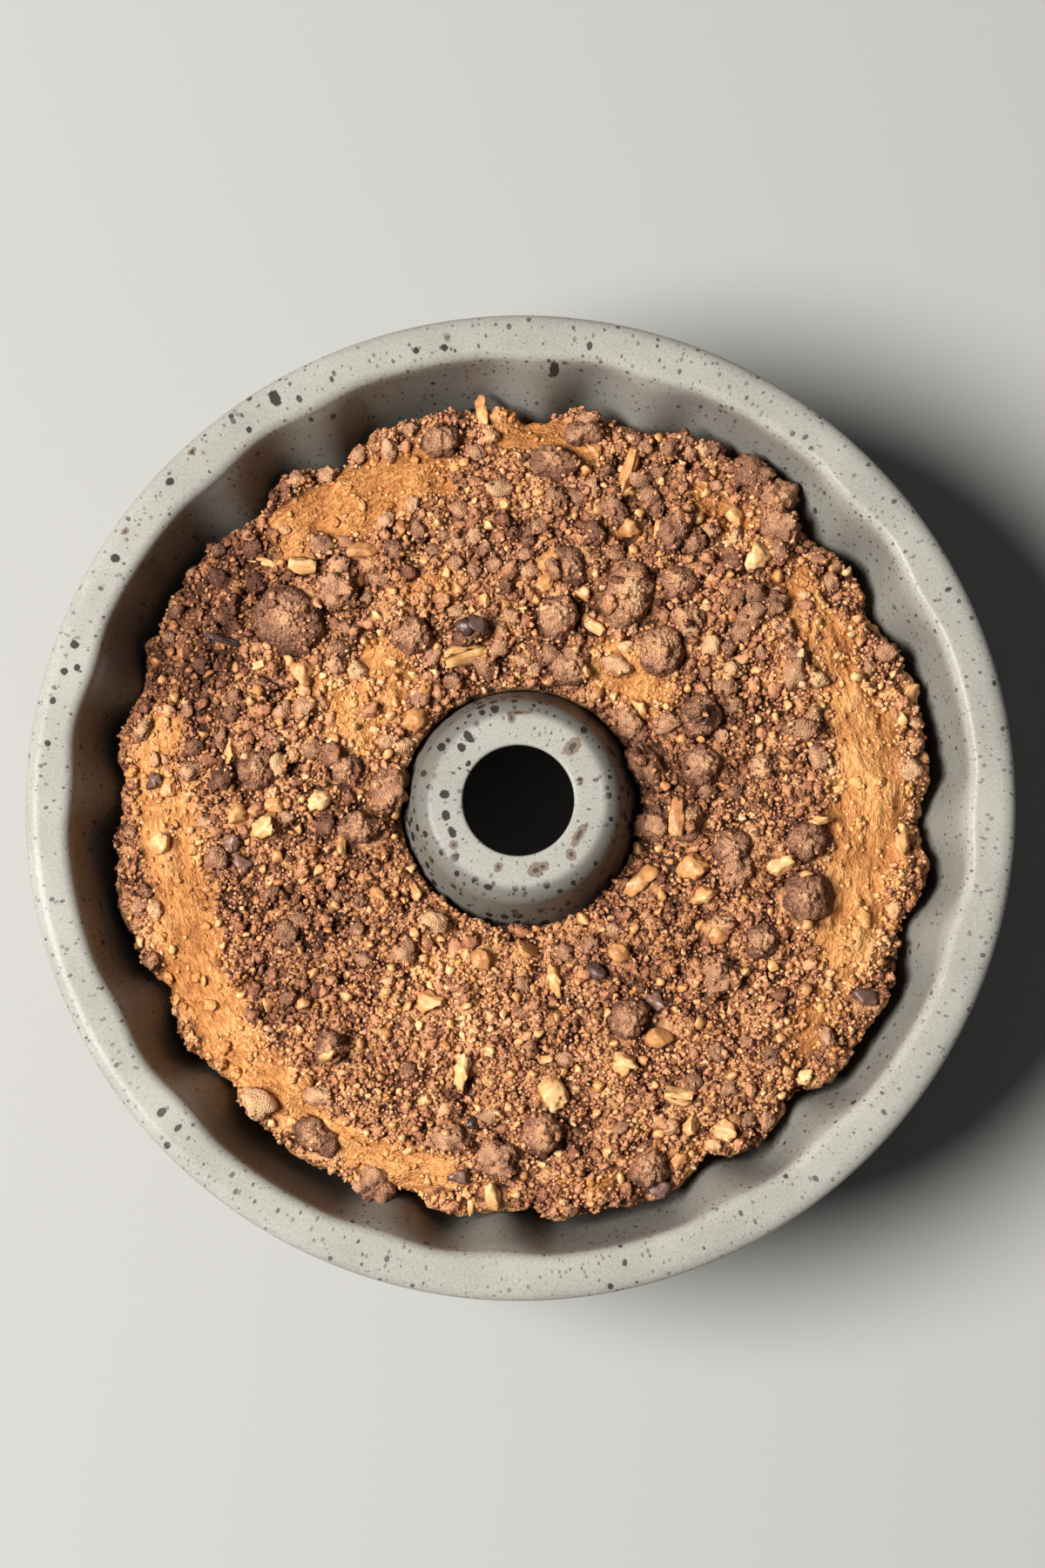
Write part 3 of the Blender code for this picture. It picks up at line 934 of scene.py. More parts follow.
def lying(normal, heading):
    """A turn that lays a flat piece on a surface, with its length along a heading in degrees."""
    upright = Vector((0.0, 0.0, 1.0)).rotation_difference(normal).to_matrix()
    return upright @ Matrix.Rotation(math.radians(heading), 3, "Z")


ON_DOUGH_TONE = 0.30
HALF_HEIGHT = 0.36


def settled(rng, spots, chosen, ground, sink, tone, spread, flat=False):
    """Places for loose pieces on what lies below them. chosen is the range of shapes to take from."""
    places = []
    for x, y, size in spots:
        hit, normal = surface_below(ground, x, y)
        if hit is None:
            continue
        bearing = math.degrees(math.atan2(y, x))
        turn = lying(normal, rng.uniform(0.0, 360.0)) if flat else tumbled(rng)
        point = hit + normal * size * (HALF_HEIGHT - sink)
        distance = math.hypot(x, y)
        golden = ON_DOUGH_TONE * (1.0 - topped(bearing, distance))
        shade = tone + zone_tone(bearing, distance) + golden + rng.gauss(0.0, spread)
        stretch = size * (turn @ Matrix.Diagonal((rng.uniform(1.0, 1.3), 1.0, rng.uniform(0.75, 1.0))))
        places.append((rng.randrange(*chosen), np.array(stretch), np.array(point), shade))
    return places


# Lumps that are too small to be nodes. length is their size round the ring and width their size outwards,
# in millimetres.
Lump = namedtuple("Lump", "bearing distance length width tone")
LUMPS = rows(Lump, (
    (60.6, 81.5, 6.7, 11.2, 0.26),
    (49.9, 103.8, 7.8, 10.1, 0.40),
    (47.1, 98.6, 9.0, 8.0, 0.42),
    (55.0, 105.5, 10.0, 7.0, 0.20),
    (62.0, 105.5, 5.0, 5.0, 0.22),
    (66.0, 105.5, 5.0, 4.0, 0.20),
    (18.8, 35.6, 13.0, 8.0, 0.28),
    (37.0, 36.0, 9.0, 7.0, 0.48),
    (47.0, 65.5, 8.0, 7.0, 0.55),
    (38.0, 83.5, 6.0, 6.0, 0.24),
    (33.0, 83.0, 5.0, 5.0, 0.46),
    (56.0, 82.0, 6.0, 6.0, 0.26),
    (173.5, 35.0, 10.8, 9.0, 0.42),
    (266.9, 91.1, 9.4, 9.4, 0.44),
    (258.3, 86.8, 9.4, 8.0, 0.46),
    (248.7, 103.2, 11.0, 8.0, 0.36),
    (343.5, 59.2, 8.0, 8.0, 0.40),
    (352.0, 35.6, 8.0, 9.0, 0.36),
    (319.2, 67.7, 9.0, 9.0, 0.46),
    (105.9, 47.5, 9.0, 5.0, 0.18),
    (130.5, 72.6, 8.0, 10.0, 0.44),
    (9.5, 63.5, 5.0, 6.0, 0.62),
))


def spots_of(pieces):
    """Lumps or pieces of nut seen from above, as (x, y, size)."""
    spots = [at(piece.bearing, piece.distance * MM) for piece in pieces]
    return [(spot.x, spot.y, (one.length + one.width) / 2 * MM) for spot, one in zip(spots, pieces)]


LUMP_HIGH = 0.66
LUMP_GROWTH = 1.15
LUMP_LIFT = 0.0013
LUMP_PALER = 0.08


def make_lumps(material, ground):
    """The middling lumps, each where the cake has it."""
    rng = random.Random(11)
    shapes = [clump_shape(rng, 4, 4.5) for _ in range(8)]
    places = []
    for lump in LUMPS:
        spot = at(lump.bearing, lump.distance * MM)
        hit, normal = surface_below(ground, spot.x, spot.y)
        turn = lying(normal, lump.bearing + 90.0 + rng.uniform(-12, 12))
        high = LUMP_HIGH * (lump.length + lump.width) * MM
        size = Matrix.Diagonal((lump.length * LUMP_GROWTH * MM, lump.width * LUMP_GROWTH * MM, high))
        point = np.array(hit + normal * LUMP_LIFT)
        places.append((rng.randrange(len(shapes)), np.array(turn @ size), point, lump.tone + LUMP_PALER))
    piece = joined("crumb_lumps", shapes, places, material)
    piece.data.shade_smooth()
    return piece


# Pieces of nut. length is along the heading of the slant, which is from the way round the ring outwards.
Nut = namedtuple("Nut", "kind bearing distance length width slant tone")
NUTS = rows(Nut, (
    ("chip", 46.5, 89.5, 8.0, 4.5, 75, 0.9),
    ("chip", 53.5, 95.0, 6.0, 3.5, 20, 0.8),
    ("sliver", 59.5, 95.5, 3.0, 1.5, 90, 0.8),
    ("chip", 63.5, 80.0, 6.0, 3.0, 80, 0.6),
    ("chip", 68.5, 77.0, 5.0, 5.0, 0, 0.35),
    ("chip", 71.0, 87.0, 3.5, 3.0, 0, 0.7),
    ("chip", 73.0, 58.0, 4.0, 3.0, 30, 0.7),
    ("chip", 83.5, 58.0, 4.0, 4.0, 0, 0.6),
    ("curl", 67.5, 50.5, 6.0, 4.0, 20, 0.7),
    ("curl", 72.0, 92.0, 10.0, 4.0, 90, 0.6),
    ("chip", 78.0, 95.0, 4.0, 3.0, 40, 0.5),
    ("chip", 39.5, 40.5, 5.0, 3.0, 20, 0.7),
    ("chip", 30.5, 62.5, 3.0, 3.0, 0, 0.8),
    ("chip", 16.5, 105.5, 5.0, 4.0, 70, 0.7),
    ("chip", 83.0, 64.0, 6.0, 5.0, 60, 0.5),
    ("chip", 95.5, 105.0, 7.0, 4.0, 80, 0.7),
    ("chip", 113.0, 79.0, 4.0, 4.0, 0, 0.35),
    ("kernel", 122.0, 77.5, 8.0, 5.0, 10, 0.35),
    ("curl", 132.0, 85.0, 6.0, 5.0, 50, 0.8),
    ("sliver", 136.0, 91.5, 7.0, 2.0, 60, 0.8),
    ("chip", 93.0, 79.0, 3.0, 3.0, 0, 0.7),
    ("curl", 152.0, 77.0, 4.0, 3.0, 60, 0.8),
    ("chip", 169.5, 76.0, 5.0, 4.5, 70, 0.7),
    ("chip", 180.0, 64.0, 4.0, 4.0, 0, 0.7),
    ("chip", 178.5, 52.5, 5.0, 5.0, 20, 0.95),
    ("curl", 110.0, 43.0, 9.0, 6.0, 10, 0.75),
    ("chip", 140.5, 35.5, 7.0, 4.0, 0, 0.5),
    ("chip", 177.0, 91.5, 4.0, 4.0, 0, 0.6),
    ("chip", 149.0, 66.0, 5.0, 5.0, 0, 0.6),
    ("chip", 100.0, 54.5, 3.0, 3.0, 0, 0.7),
    ("kernel", 182.5, 73.5, 6.0, 5.0, 50, 0.6),
    ("chip", 185.5, 66.0, 6.0, 4.0, 90, 0.8),
    ("kernel", 186.5, 93.0, 6.0, 5.0, 30, 0.85),
    ("chip", 192.5, 47.5, 5.0, 3.0, 20, 0.7),
    ("chip", 212.5, 44.0, 5.0, 3.0, 0, 0.6),
    ("chip", 218.5, 34.8, 5.0, 3.0, 0, 0.6),
    ("chip", 235.0, 60.0, 4.0, 3.0, 30, 0.7),
    ("chip", 246.5, 55.5, 6.0, 5.0, 20, 0.7),
    ("kernel", 257.5, 41.0, 6.0, 5.0, 40, 0.45),
    ("chip", 258.5, 70.0, 8.0, 4.5, 80, 0.95),
    ("kernel", 266.0, 101.0, 9.0, 4.0, 60, 0.85),
    ("sliver", 263.0, 104.0, 3.5, 1.5, 80, 0.8),
    ("chip", 252.5, 80.5, 3.0, 3.0, 0, 0.7),
    ("chip", 233.0, 81.0, 5.0, 3.0, 90, 0.6),
    ("chip", 276.5, 75.0, 10.0, 5.0, 75, 0.9),
    ("chip", 276.5, 66.5, 3.0, 3.0, 0, 0.7),
    ("chip", 292.0, 72.0, 6.0, 5.0, 60, 0.8),
    ("kernel", 301.5, 70.0, 7.0, 6.0, 20, 0.4),
    ("curl", 298.5, 86.0, 6.0, 5.0, 40, 0.85),
    ("chip", 298.5, 93.5, 4.0, 4.0, 0, 0.7),
    ("chip", 302.5, 99.0, 6.0, 4.0, 80, 0.7),
    ("chip", 316.5, 102.0, 4.0, 4.0, 0, 0.95),
    ("chip", 294.0, 100.0, 4.0, 3.0, 0, 0.5),
    ("sliver", 274.0, 93.0, 5.0, 2.0, 10, 0.8),
    ("kernel", 327.5, 60.5, 6.0, 5.0, 20, 0.4),
    ("chip", 333.5, 53.5, 6.0, 4.0, 20, 0.7),
    ("chip", 340.0, 48.0, 7.0, 5.0, 30, 0.65),
    ("kernel", 304.0, 46.5, 6.0, 5.0, 60, 0.4),
    ("chip", 347.5, 69.0, 6.0, 5.0, 70, 0.8),
    ("chip", 356.0, 77.5, 5.0, 3.0, 80, 0.7),
    ("chip", 345.5, 76.0, 3.0, 2.0, 90, 0.7),
    ("sliver", 354.0, 41.0, 10.0, 3.0, 0, 0.5),
    ("chip", 328.0, 37.5, 7.0, 5.0, 10, 0.55),
    ("chip", 272.0, 38.0, 7.0, 4.0, 10, 0.6),
    ("chip", 281.5, 46.0, 7.0, 4.0, 80, 0.7),
    ("chip", 354.0, 99.0, 6.0, 4.0, 0, 0.6),
))
DARK_BITS = rows(Nut, (
    ("kernel", 24.5, 52.5, 5.0, 4.0, 90, 0.3),
    ("kernel", 102.5, 47.5, 6.0, 5.0, 60, 0.25),
    ("kernel", 107.0, 47.5, 5.0, 5.0, 20, 0.2),
    ("curl", 151.0, 88.0, 9.0, 2.5, 75, 0.1),
    ("chip", 176.5, 95.0, 4.0, 4.0, 0, 0.5),
    ("chip", 188.0, 75.0, 4.0, 4.0, 0, 0.7),
    ("chip", 192.0, 73.5, 4.0, 4.0, 0, 0.7),
    ("chip", 261.0, 97.5, 4.0, 4.0, 0, 0.5),
    ("chip", 262.0, 83.0, 3.0, 3.0, 0, 0.1),
    ("kernel", 289.5, 104.5, 7.0, 6.0, 60, 0.5),
    ("kernel", 294.5, 48.0, 6.0, 5.0, 20, 0.3),
    ("kernel", 330.5, 102.0, 7.0, 4.5, 80, 0.5),
    ("chip", 305.0, 62.0, 5.0, 4.0, 80, 0.7),
))


NUT_LIFT = 0.0004
NUT_GROWTH = {"chip": 1.4, "sliver": 1.4, "kernel": 1.15, "curl": 1.2}
NUT_THICK = 1.15
NUT_RAISED = 0.16
NUT_TILT = 0.35
BIT_TONE = 0.62
BIT_TONE_SPREAD = 0.16


def make_nuts(name, nuts, extra, ground, material):
    """Pieces of nut at listed places, and small bits strewn between them."""
    rng = random.Random(23 + len(nuts))
    shapes = [chip_shape(rng, 3) for _ in range(8)] + [kernel_shape(rng) for _ in range(3)]
    shapes += [curl_shape(rng) for _ in range(3)] + [chip_shape(rng, 2) for _ in range(6)]
    kinds = {"chip": (0, 8), "sliver": (0, 8), "kernel": (8, 11), "curl": (11, 14)}
    small_chips = (14, 20)
    places = []
    for nut in nuts:
        spot = at(nut.bearing, nut.distance * MM)
        hit, normal = surface_below(ground, spot.x, spot.y)
        turn = lying(normal, nut.bearing + 90.0 - nut.slant)
        turn = turn @ Matrix.Rotation(rng.uniform(-NUT_TILT, NUT_TILT), 3, "X")
        high = NUT_THICK * nut.width * MM
        grown = NUT_GROWTH[nut.kind] * MM
        size = Matrix.Diagonal((nut.length * grown, nut.width * grown, high))
        point = hit + normal * (NUT_LIFT + high * NUT_RAISED)
        places.append((rng.randrange(*kinds[nut.kind]), np.array(turn @ size), np.array(point), nut.tone))
    places += settled(rng, extra, small_chips, ground, 0.0, BIT_TONE, BIT_TONE_SPREAD, flat=True)
    return joined(name, shapes, places, material)


# How thickly each kind of loose crumb lies
def heaped(bearing, distance, hollow):
    """1 on the heaps of topping, and less in hollows and on bare dough."""
    return topped(bearing, distance) * (hollow + (1.0 - hollow) * heap(at(bearing, distance)))


def pebble_share(bearing, distance):
    """Small clumps lie mostly behind the tube."""
    behind = 0.16 + 0.84 * smooth(-abs(apart(bearing, 95.0)), -100.0, -45.0)
    return heaped(bearing, distance, 0.35) * behind


def crumb_share(bearing, distance):
    return heaped(bearing, distance, 0.55)


def fine_share(bearing, distance):
    return heaped(bearing, distance, 0.85)


def golden_share(bearing, distance):
    """Grains of dough show most where the crumbs thin out."""
    cover = topped(bearing, distance)
    return (1.0 - 0.95 * cover) * (0.09 + 2.2 * cover)


# Small clumps and crumbs, in count shapes. Throwing stops when limit of them lie, or after tries for each of
# those. closeness is how near two may come, spill how far they may lie past the cake's edge and sink how deep
# they sit. flat is whether they lie on their broad side.
LOOSE_PARTS = "name seed limit tries count shape sizes share closeness spill sink tone spread flat"
Loose = namedtuple("Loose", LOOSE_PARTS)
FLAKE_HIGH = 0.5
CRUMB_HIGH = 0.8
CLODS = Loose(
    name="crumb_clods",
    seed=31,
    limit=230,
    tries=16,
    count=9,
    shape=partial(clump_shape, subdivisions=3, grains=4.0),
    sizes=(0.0036, 0.0080, 0.0044),
    share=pebble_share,
    closeness=0.76,
    spill=0.0006,
    sink=0.17,
    tone=0.50,
    spread=0.13,
    flat=True,
)
PEBBLES = CLODS._replace(
    name="crumb_pebbles",
    seed=33,
    limit=600,
    shape=partial(clump_shape, subdivisions=3, grains=3.0),
    sizes=(0.0018, 0.0048, 0.0026),
)
MIDDLING = Loose(
    name="crumbs_middling",
    seed=37,
    limit=2450,
    tries=7,
    count=12,
    shape=partial(crumb_shape, subdivisions=2, high=CRUMB_HIGH),
    sizes=(0.0013, 0.0032, 0.0019),
    share=crumb_share,
    closeness=0.72,
    spill=0.0010,
    sink=0.19,
    tone=0.53,
    spread=0.22,
    flat=False,
)
FINE = MIDDLING._replace(
    name="crumbs_fine",
    seed=41,
    limit=9900,
    shape=partial(crumb_shape, subdivisions=1, high=CRUMB_HIGH),
    sizes=(0.0007, 0.0018, 0.0011),
    share=fine_share,
    closeness=0.74,
)
GOLDEN_BLOBS = MIDDLING._replace(
    name="golden_blobs",
    seed=39,
    limit=620,
    shape=partial(crumb_shape, subdivisions=2, high=FLAKE_HIGH),
    sizes=(0.0018, 0.0046, 0.0028),
    share=golden_share,
    sink=0.22,
    tone=0.52,
    spread=0.20,
    flat=True,
)
GOLDEN_GRAINS = GOLDEN_BLOBS._replace(
    name="golden_grains",
    seed=43,
    limit=4200,
    shape=partial(crumb_shape, subdivisions=1, high=FLAKE_HIGH),
    sizes=(0.0008, 0.0021, 0.0013),
    closeness=0.74,
    tone=0.50,
)


def make_loose(kind, covered, ground, material):
    """One kind of small clump or crumb strewn over the crown, and where its copies lie."""
    rng = random.Random(kind.seed)
    shapes = [kind.shape(rng) for _ in range(kind.count)]
    tries = kind.tries * kind.limit
    spots = thrown(rng, kind.limit, tries, kind.sizes, kind.share, kind.closeness, covered, kind.spill)
    places = settled(rng, spots, (0, len(shapes)), ground, kind.sink, kind.tone, kind.spread, kind.flat)
    return joined(kind.name, shapes, places, material), spots


# Materials
def new_material(name):
    material = bpy.data.materials.new(name)
    material.use_nodes = True
    return material, material.node_tree, material.node_tree.nodes["Principled BSDF"]


def feed(tree, made, inputs):
    """Gives a node its inputs, by name or number, each a plain value or another node's output."""
    for name, value in inputs.items():
        if isinstance(value, bpy.types.NodeSocket):
            tree.links.new(value, made.inputs[name])
        else:
            made.inputs[name].default_value = value


def node(tree, kind, inputs=None, **values):
    """A node with the given inputs, and with the given properties set on it."""
    made = tree.nodes.new(kind)
    for key, value in values.items():
        setattr(made, key, value)
    feed(tree, made, inputs or {})
    return made


def math_node(tree, operation, first, second):
    """A sum of two sockets or numbers."""
    return node(tree, "ShaderNodeMath", {0: first, 1: second}, operation=operation).outputs["Value"]


def times(tree, first, second):
    return math_node(tree, "MULTIPLY", first, second)


def plus(tree, first, second):
    return math_node(tree, "ADD", first, second)


def minus(tree, first, second):
    return math_node(tree, "SUBTRACT", first, second)


def larger(tree, first, second):
    return math_node(tree, "MAXIMUM", first, second)


def stretched(tree, value, low, high, to_low=0.0, to_high=1.0):
    """A value mapped from one range to another with soft ends."""
    inputs = {"Value": value, "From Min": low, "From Max": high, "To Min": to_low, "To Max": to_high}
    return node(tree, "ShaderNodeMapRange", inputs, interpolation_type="SMOOTHSTEP").outputs["Result"]


def clouds(tree, place, scale, detail=2.0, roughness=0.5):
    inputs = {"Vector": place, "Scale": scale, "Detail": detail, "Roughness": roughness}
    return node(tree, "ShaderNodeTexNoise", inputs).outputs["Fac"]


def ramp(tree, value, stops):
    """A colour by value, through (value, colour) stops."""
    made = node(tree, "ShaderNodeValToRGB", {"Fac": value})
    elements = made.color_ramp.elements
    while len(elements) < len(stops):
        elements.new(0.5)
    for element, (position, color) in zip(elements, stops):
        element.position = position
        element.color = (*color, 1.0)
    return made.outputs["Color"]


# The numbers of a mixing node's sockets, because those for vectors and for colours have the same names
VECTOR_A, VECTOR_B, VECTOR_MIXED = 4, 5, 1
COLOR_A, COLOR_B, COLOR_MIXED = 6, 7, 2


def blend(tree, share, first, second):
    """Two colours mixed."""
    first, second = [(*color, 1.0) if isinstance(color, tuple) else color for color in (first, second)]
    inputs = {"Factor": share, COLOR_A: first, COLOR_B: second}
    return node(tree, "ShaderNodeMix", inputs, data_type="RGBA").outputs[COLOR_MIXED]


def length(tree, vector):
    return node(tree, "ShaderNodeVectorMath", {0: vector}, operation="LENGTH").outputs["Value"]


def object_place(tree):
    return node(tree, "ShaderNodeTexCoord").outputs["Object"]


def attribute(tree, name, output="Fac"):
    return node(tree, "ShaderNodeAttribute", attribute_name=name).outputs[output]


def bumped(tree, shader, height, strength, distance):
    made = node(tree, "ShaderNodeBump", {"Height": height, "Strength": strength, "Distance": distance})
    feed(tree, shader, {"Normal": made.outputs["Normal"]})


def new_group(name, inputs, outputs):
    """An empty shader group with float inputs, a vector Place first, and float outputs."""
    tree = bpy.data.node_groups.new(name, "ShaderNodeTree")
    tree.interface.new_socket("Place", in_out="INPUT", socket_type="NodeSocketVector")
    for key, value in inputs.items():
        socket = tree.interface.new_socket(key, in_out="INPUT", socket_type="NodeSocketFloat")
        socket.default_value = value
    for key in outputs:
        tree.interface.new_socket(key, in_out="OUTPUT", socket_type="NodeSocketFloat")
    return tree, tree.nodes.new("NodeGroupInput").outputs, tree.nodes.new("NodeGroupOutput")


def random_parts(tree, cells):
    """Random numbers that differ from cell to cell, as the parts of a colour."""
    return node(tree, "ShaderNodeSeparateColor", {"Color": cells.outputs["Color"]}).outputs


def speckle_group():
    """Spots of uneven size. Share is how many of the cells hold one, Size the largest radius in cells."""
    tree, given, made = new_group("speckles", {"Cells": 300.0, "Share": 0.5, "Size": 0.3}, ("Mask",))
    wobble = node(tree, "ShaderNodeTexNoise", {"Vector": given["Place"], "Scale": 900.0})
    mix = {"Factor": 0.0005, VECTOR_A: given["Place"], VECTOR_B: wobble.outputs["Color"]}
    bent = node(tree, "ShaderNodeMix", mix, data_type="VECTOR").outputs[VECTOR_MIXED]
    cells = node(tree, "ShaderNodeTexVoronoi", {"Vector": bent, "Scale": given["Cells"]})
    chance = random_parts(tree, cells)
    share = plus(tree, times(tree, times(tree, chance["Red"], chance["Red"]), 0.7), 0.3)
    beyond = minus(tree, cells.outputs["Distance"], times(tree, share, given["Size"]))
    inside = stretched(tree, beyond, -0.05, 0.02, 1.0, 0.0)
    there = math_node(tree, "LESS_THAN", chance["Green"], given["Share"])
    feed(tree, made, {"Mask": times(tree, inside, there)})
    return tree


def sand_group():
    """The fine grain of baked crumb. Fleck is bright where a sugar or flour grain shows."""
    tree, given, made = new_group("sandy_grain", {"Grain": 1500.0}, ("Height", "Fleck", "Cloud"))
    placed = {"Vector": given["Place"], "Scale": given["Grain"]}
    fine = node(tree, "ShaderNodeTexNoise", {**placed, "Detail": 3.0})
    cells = node(tree, "ShaderNodeTexVoronoi", placed)
    round_top = stretched(tree, cells.outputs["Distance"], 0.1, 0.7, 1.0, 0.0)
    height = plus(tree, times(tree, round_top, 0.6), fine.outputs["Fac"])
    pale = math_node(tree, "GREATER_THAN", random_parts(tree, cells)["Red"], 0.8)
    cloud = clouds(tree, given["Place"], 330.0, 3.0)
    feed(tree, made, {"Height": height, "Fleck": times(tree, round_top, pale), "Cloud": cloud})
    return tree


def placed_group(tree, group, place, **inputs):
    return node(tree, "ShaderNodeGroup", {"Place": place, **inputs}, node_tree=group).outputs


METAL_DARK = (0.235, 0.228, 0.203)
METAL_LIGHT = (0.415, 0.402, 0.362)
# The dark colour and the two depths below it are painted shade and painted dark reflection, laid over the
# walls and the tube's side
WALL_PAINTED_SHADE = (0.100, 0.090, 0.076)
WALL_SHADE_DEPTH = 0.50
TUBE_SHADE_DEPTH = 0.72
RING_ENDS_BETWEEN = (0.0211, 0.0238)
TUBE_ENDS_BETWEEN = (0.0480, 0.0550)
WALL_SHADE_BETWEEN = (0.0790, 0.0848)
SPECK_DARK = (0.022, 0.017, 0.013)
STAIN_BROWN = (0.110, 0.044, 0.012)
STAIN_DEPTH = 0.64
BURNT_DEPTH = 0.70
BURNT_SHARE = 0.4
SPOT_EDGE = (0.85, 1.1)
SPECK_DEPTH = 0.93

# Spots on the sheet that are large enough to be told apart: bearing and distance of the middle in degrees
# and millimetres, and the sizes round the ring and outwards
Spot = namedtuple("Spot", "bearing distance across outwards")
DARK_SPOTS = rows(Spot, (
    (121.2, 122.4, 3.0, 4.6),
    (137.5, 122.7, 2.3, 2.1),
    (149.0, 121.8, 2.4, 2.7),
    (160.6, 121.5, 2.4, 2.4),
    (164.1, 121.8, 2.2, 2.0),
    (163.2, 118.9, 1.9, 1.5),
    (126.0, 119.3, 1.6, 1.6),
    (99.4, 119.6, 1.8, 2.0),
    (102.9, 120.2, 1.6, 1.8),
    (167.9, 122.7, 1.8, 1.8),
    (173.1, 122.0, 1.7, 1.8),
    (85.5, 113.5, 2.6, 3.0),
    (128.0, 20.8, 2.1, 3.9),
    (137.0, 19.9, 2.2, 2.5),
    (143.5, 15.9, 1.8, 1.2),
    (175.5, 18.9, 2.4, 2.7),
    (192.0, 19.0, 2.8, 2.2),
    (206.0, 18.8, 3.0, 2.1),
    (251.0, 23.6, 2.4, 1.6),
))
BROWN_SPOTS = rows(Spot, (
    (133.0, 124.4, 2.8, 1.6),
    (145.6, 123.6, 2.2, 1.8),
    (45.0, 19.6, 3.6, 6.4),
    (90.0, 22.6, 7.0, 1.2),
    (95.0, 21.2, 2.4, 2.6),
    (215.0, 20.2, 2.4, 2.6),
    (253.5, 18.0, 2.2, 2.8),
    (284.0, 18.6, 4.2, 3.8),
    (290.0, 18.2, 3.6, 2.6),
    (314.0, 19.4, 3.0, 3.2),
    (330.0, 17.9, 7.2, 2.5),
    (18.0, 16.8, 1.8, 1.4),
))


# The scattered speckles: cells in a metre, share of the cells that hold one, largest radius in cells and
# how dark they are. The tube's side has a kind of its own.
SPECKLE_KINDS = (
    (620.0, 1.0, 0.34, 0.50),
    (400.0, 0.8, 0.28, 0.75),
    (210.0, 0.45, 0.22, 0.92),
    (110.0, 0.16, 0.15, 1.0),
)
TUBE_SPECKLES = (430.0, 1.0, 0.46)


def oval_mask(tree, place, wobble, spots):
    """1 inside any of the given spots on the lip or on the tube's ring, 0 outside them all."""
    mask = 0.0
    for spot in spots:
        inputs = {
            "Vector": place,
            "Location": at(spot.bearing, spot.distance * MM, PAN_HEIGHT),
            "Rotation": (0.0, 0.0, math.radians(spot.bearing)),
            "Scale": (spot.outwards * MM / 2, spot.across * MM / 2, PAN_HEIGHT / 2),
        }
        inside = node(tree, "ShaderNodeMapping", inputs, vector_type="TEXTURE").outputs["Vector"]
        ragged = plus(tree, length(tree, inside), wobble)
        mask = larger(tree, mask, stretched(tree, ragged, *SPOT_EDGE, 1.0, 0.0))
    return mask


def metal_material(speckles):
    """Satin grey coat with fine grain, dark oval specks, a few large spots, baked-on stains, and painted
    shade on the walls and the tube's side.
    """
    material, tree, shader = new_material("speckled_grey_metal")
    place = object_place(tree)
    grain = clouds(tree, place, 1400.0, 3.0, 0.7)
    broad = clouds(tree, place, 45.0)
    tone = plus(tree, times(tree, grain, 0.6), times(tree, broad, 0.4))
    coat = ramp(tree, tone, ((0.25, METAL_DARK), (0.62, METAL_LIGHT)))

    # Painted shade and painted dark reflection: the coat's colour is blended towards a dark colour on the
    # tube's side and on the walls below the lip
    level = node(tree, "ShaderNodeVectorMath", {0: place, 1: (1.0, 1.0, 0.0)}, operation="MULTIPLY")
    from_axis = length(tree, level.outputs["Vector"])
    past_ring = stretched(tree, from_axis, *RING_ENDS_BETWEEN)
    on_tube = stretched(tree, from_axis, *TUBE_ENDS_BETWEEN, 1.0, 0.0)
    on_side = times(tree, past_ring, on_tube)
    up = node(tree, "ShaderNodeSeparateXYZ", {"Vector": place}).outputs["Z"]
    wall_shade = stretched(tree, up, *WALL_SHADE_BETWEEN, WALL_SHADE_DEPTH, 0.0)
    painted_shade = larger(tree, times(tree, on_side, TUBE_SHADE_DEPTH), wall_shade)
    coat = blend(tree, painted_shade, coat, WALL_PAINTED_SHADE)

    wobble = times(tree, minus(tree, clouds(tree, place, 900.0), 0.5), 0.9)
    stains = oval_mask(tree, place, wobble, BROWN_SPOTS)
    stained = blend(tree, times(tree, stains, STAIN_DEPTH), coat, STAIN_BROWN)
    middles = [
        spot._replace(across=BURNT_SHARE * spot.across, outwards=BURNT_SHARE * spot.outwards)
        for spot in BROWN_SPOTS
    ]
    burnt = oval_mask(tree, place, wobble, middles)
    stained = blend(tree, times(tree, burnt, BURNT_DEPTH), stained, SPECK_DARK)

    specks = oval_mask(tree, place, wobble, DARK_SPOTS)
    own_place = attribute(tree, "speckle_place", "Vector")
    for cells, share, size, depth in (*SPECKLE_KINDS, (*TUBE_SPECKLES, on_side)):
        scattered = placed_group(tree, speckles, own_place, Cells=cells, Share=share, Size=size)["Mask"]
        specks = larger(tree, specks, times(tree, scattered, depth))
    feed(tree, shader, {
        "Base Color": blend(tree, times(tree, specks, SPECK_DEPTH), stained, SPECK_DARK),
        "Roughness": stretched(tree, specks, 0.0, 1.0, 0.60, 0.30),
        "Coat Weight": 0.18,
        "Coat Roughness": 0.22,
        "Specular IOR Level": 0.15,
    })
    bumped(tree, shader, minus(tree, times(tree, grain, 0.12), specks), 0.35, 0.00015)
    return material


CRUST_BARE = (
    (0.15, (0.36, 0.133, 0.038)),
    (0.38, (0.52, 0.208, 0.064)),
    (0.58, (0.66, 0.290, 0.096)),
    (0.80, (0.82, 0.430, 0.165)),
)
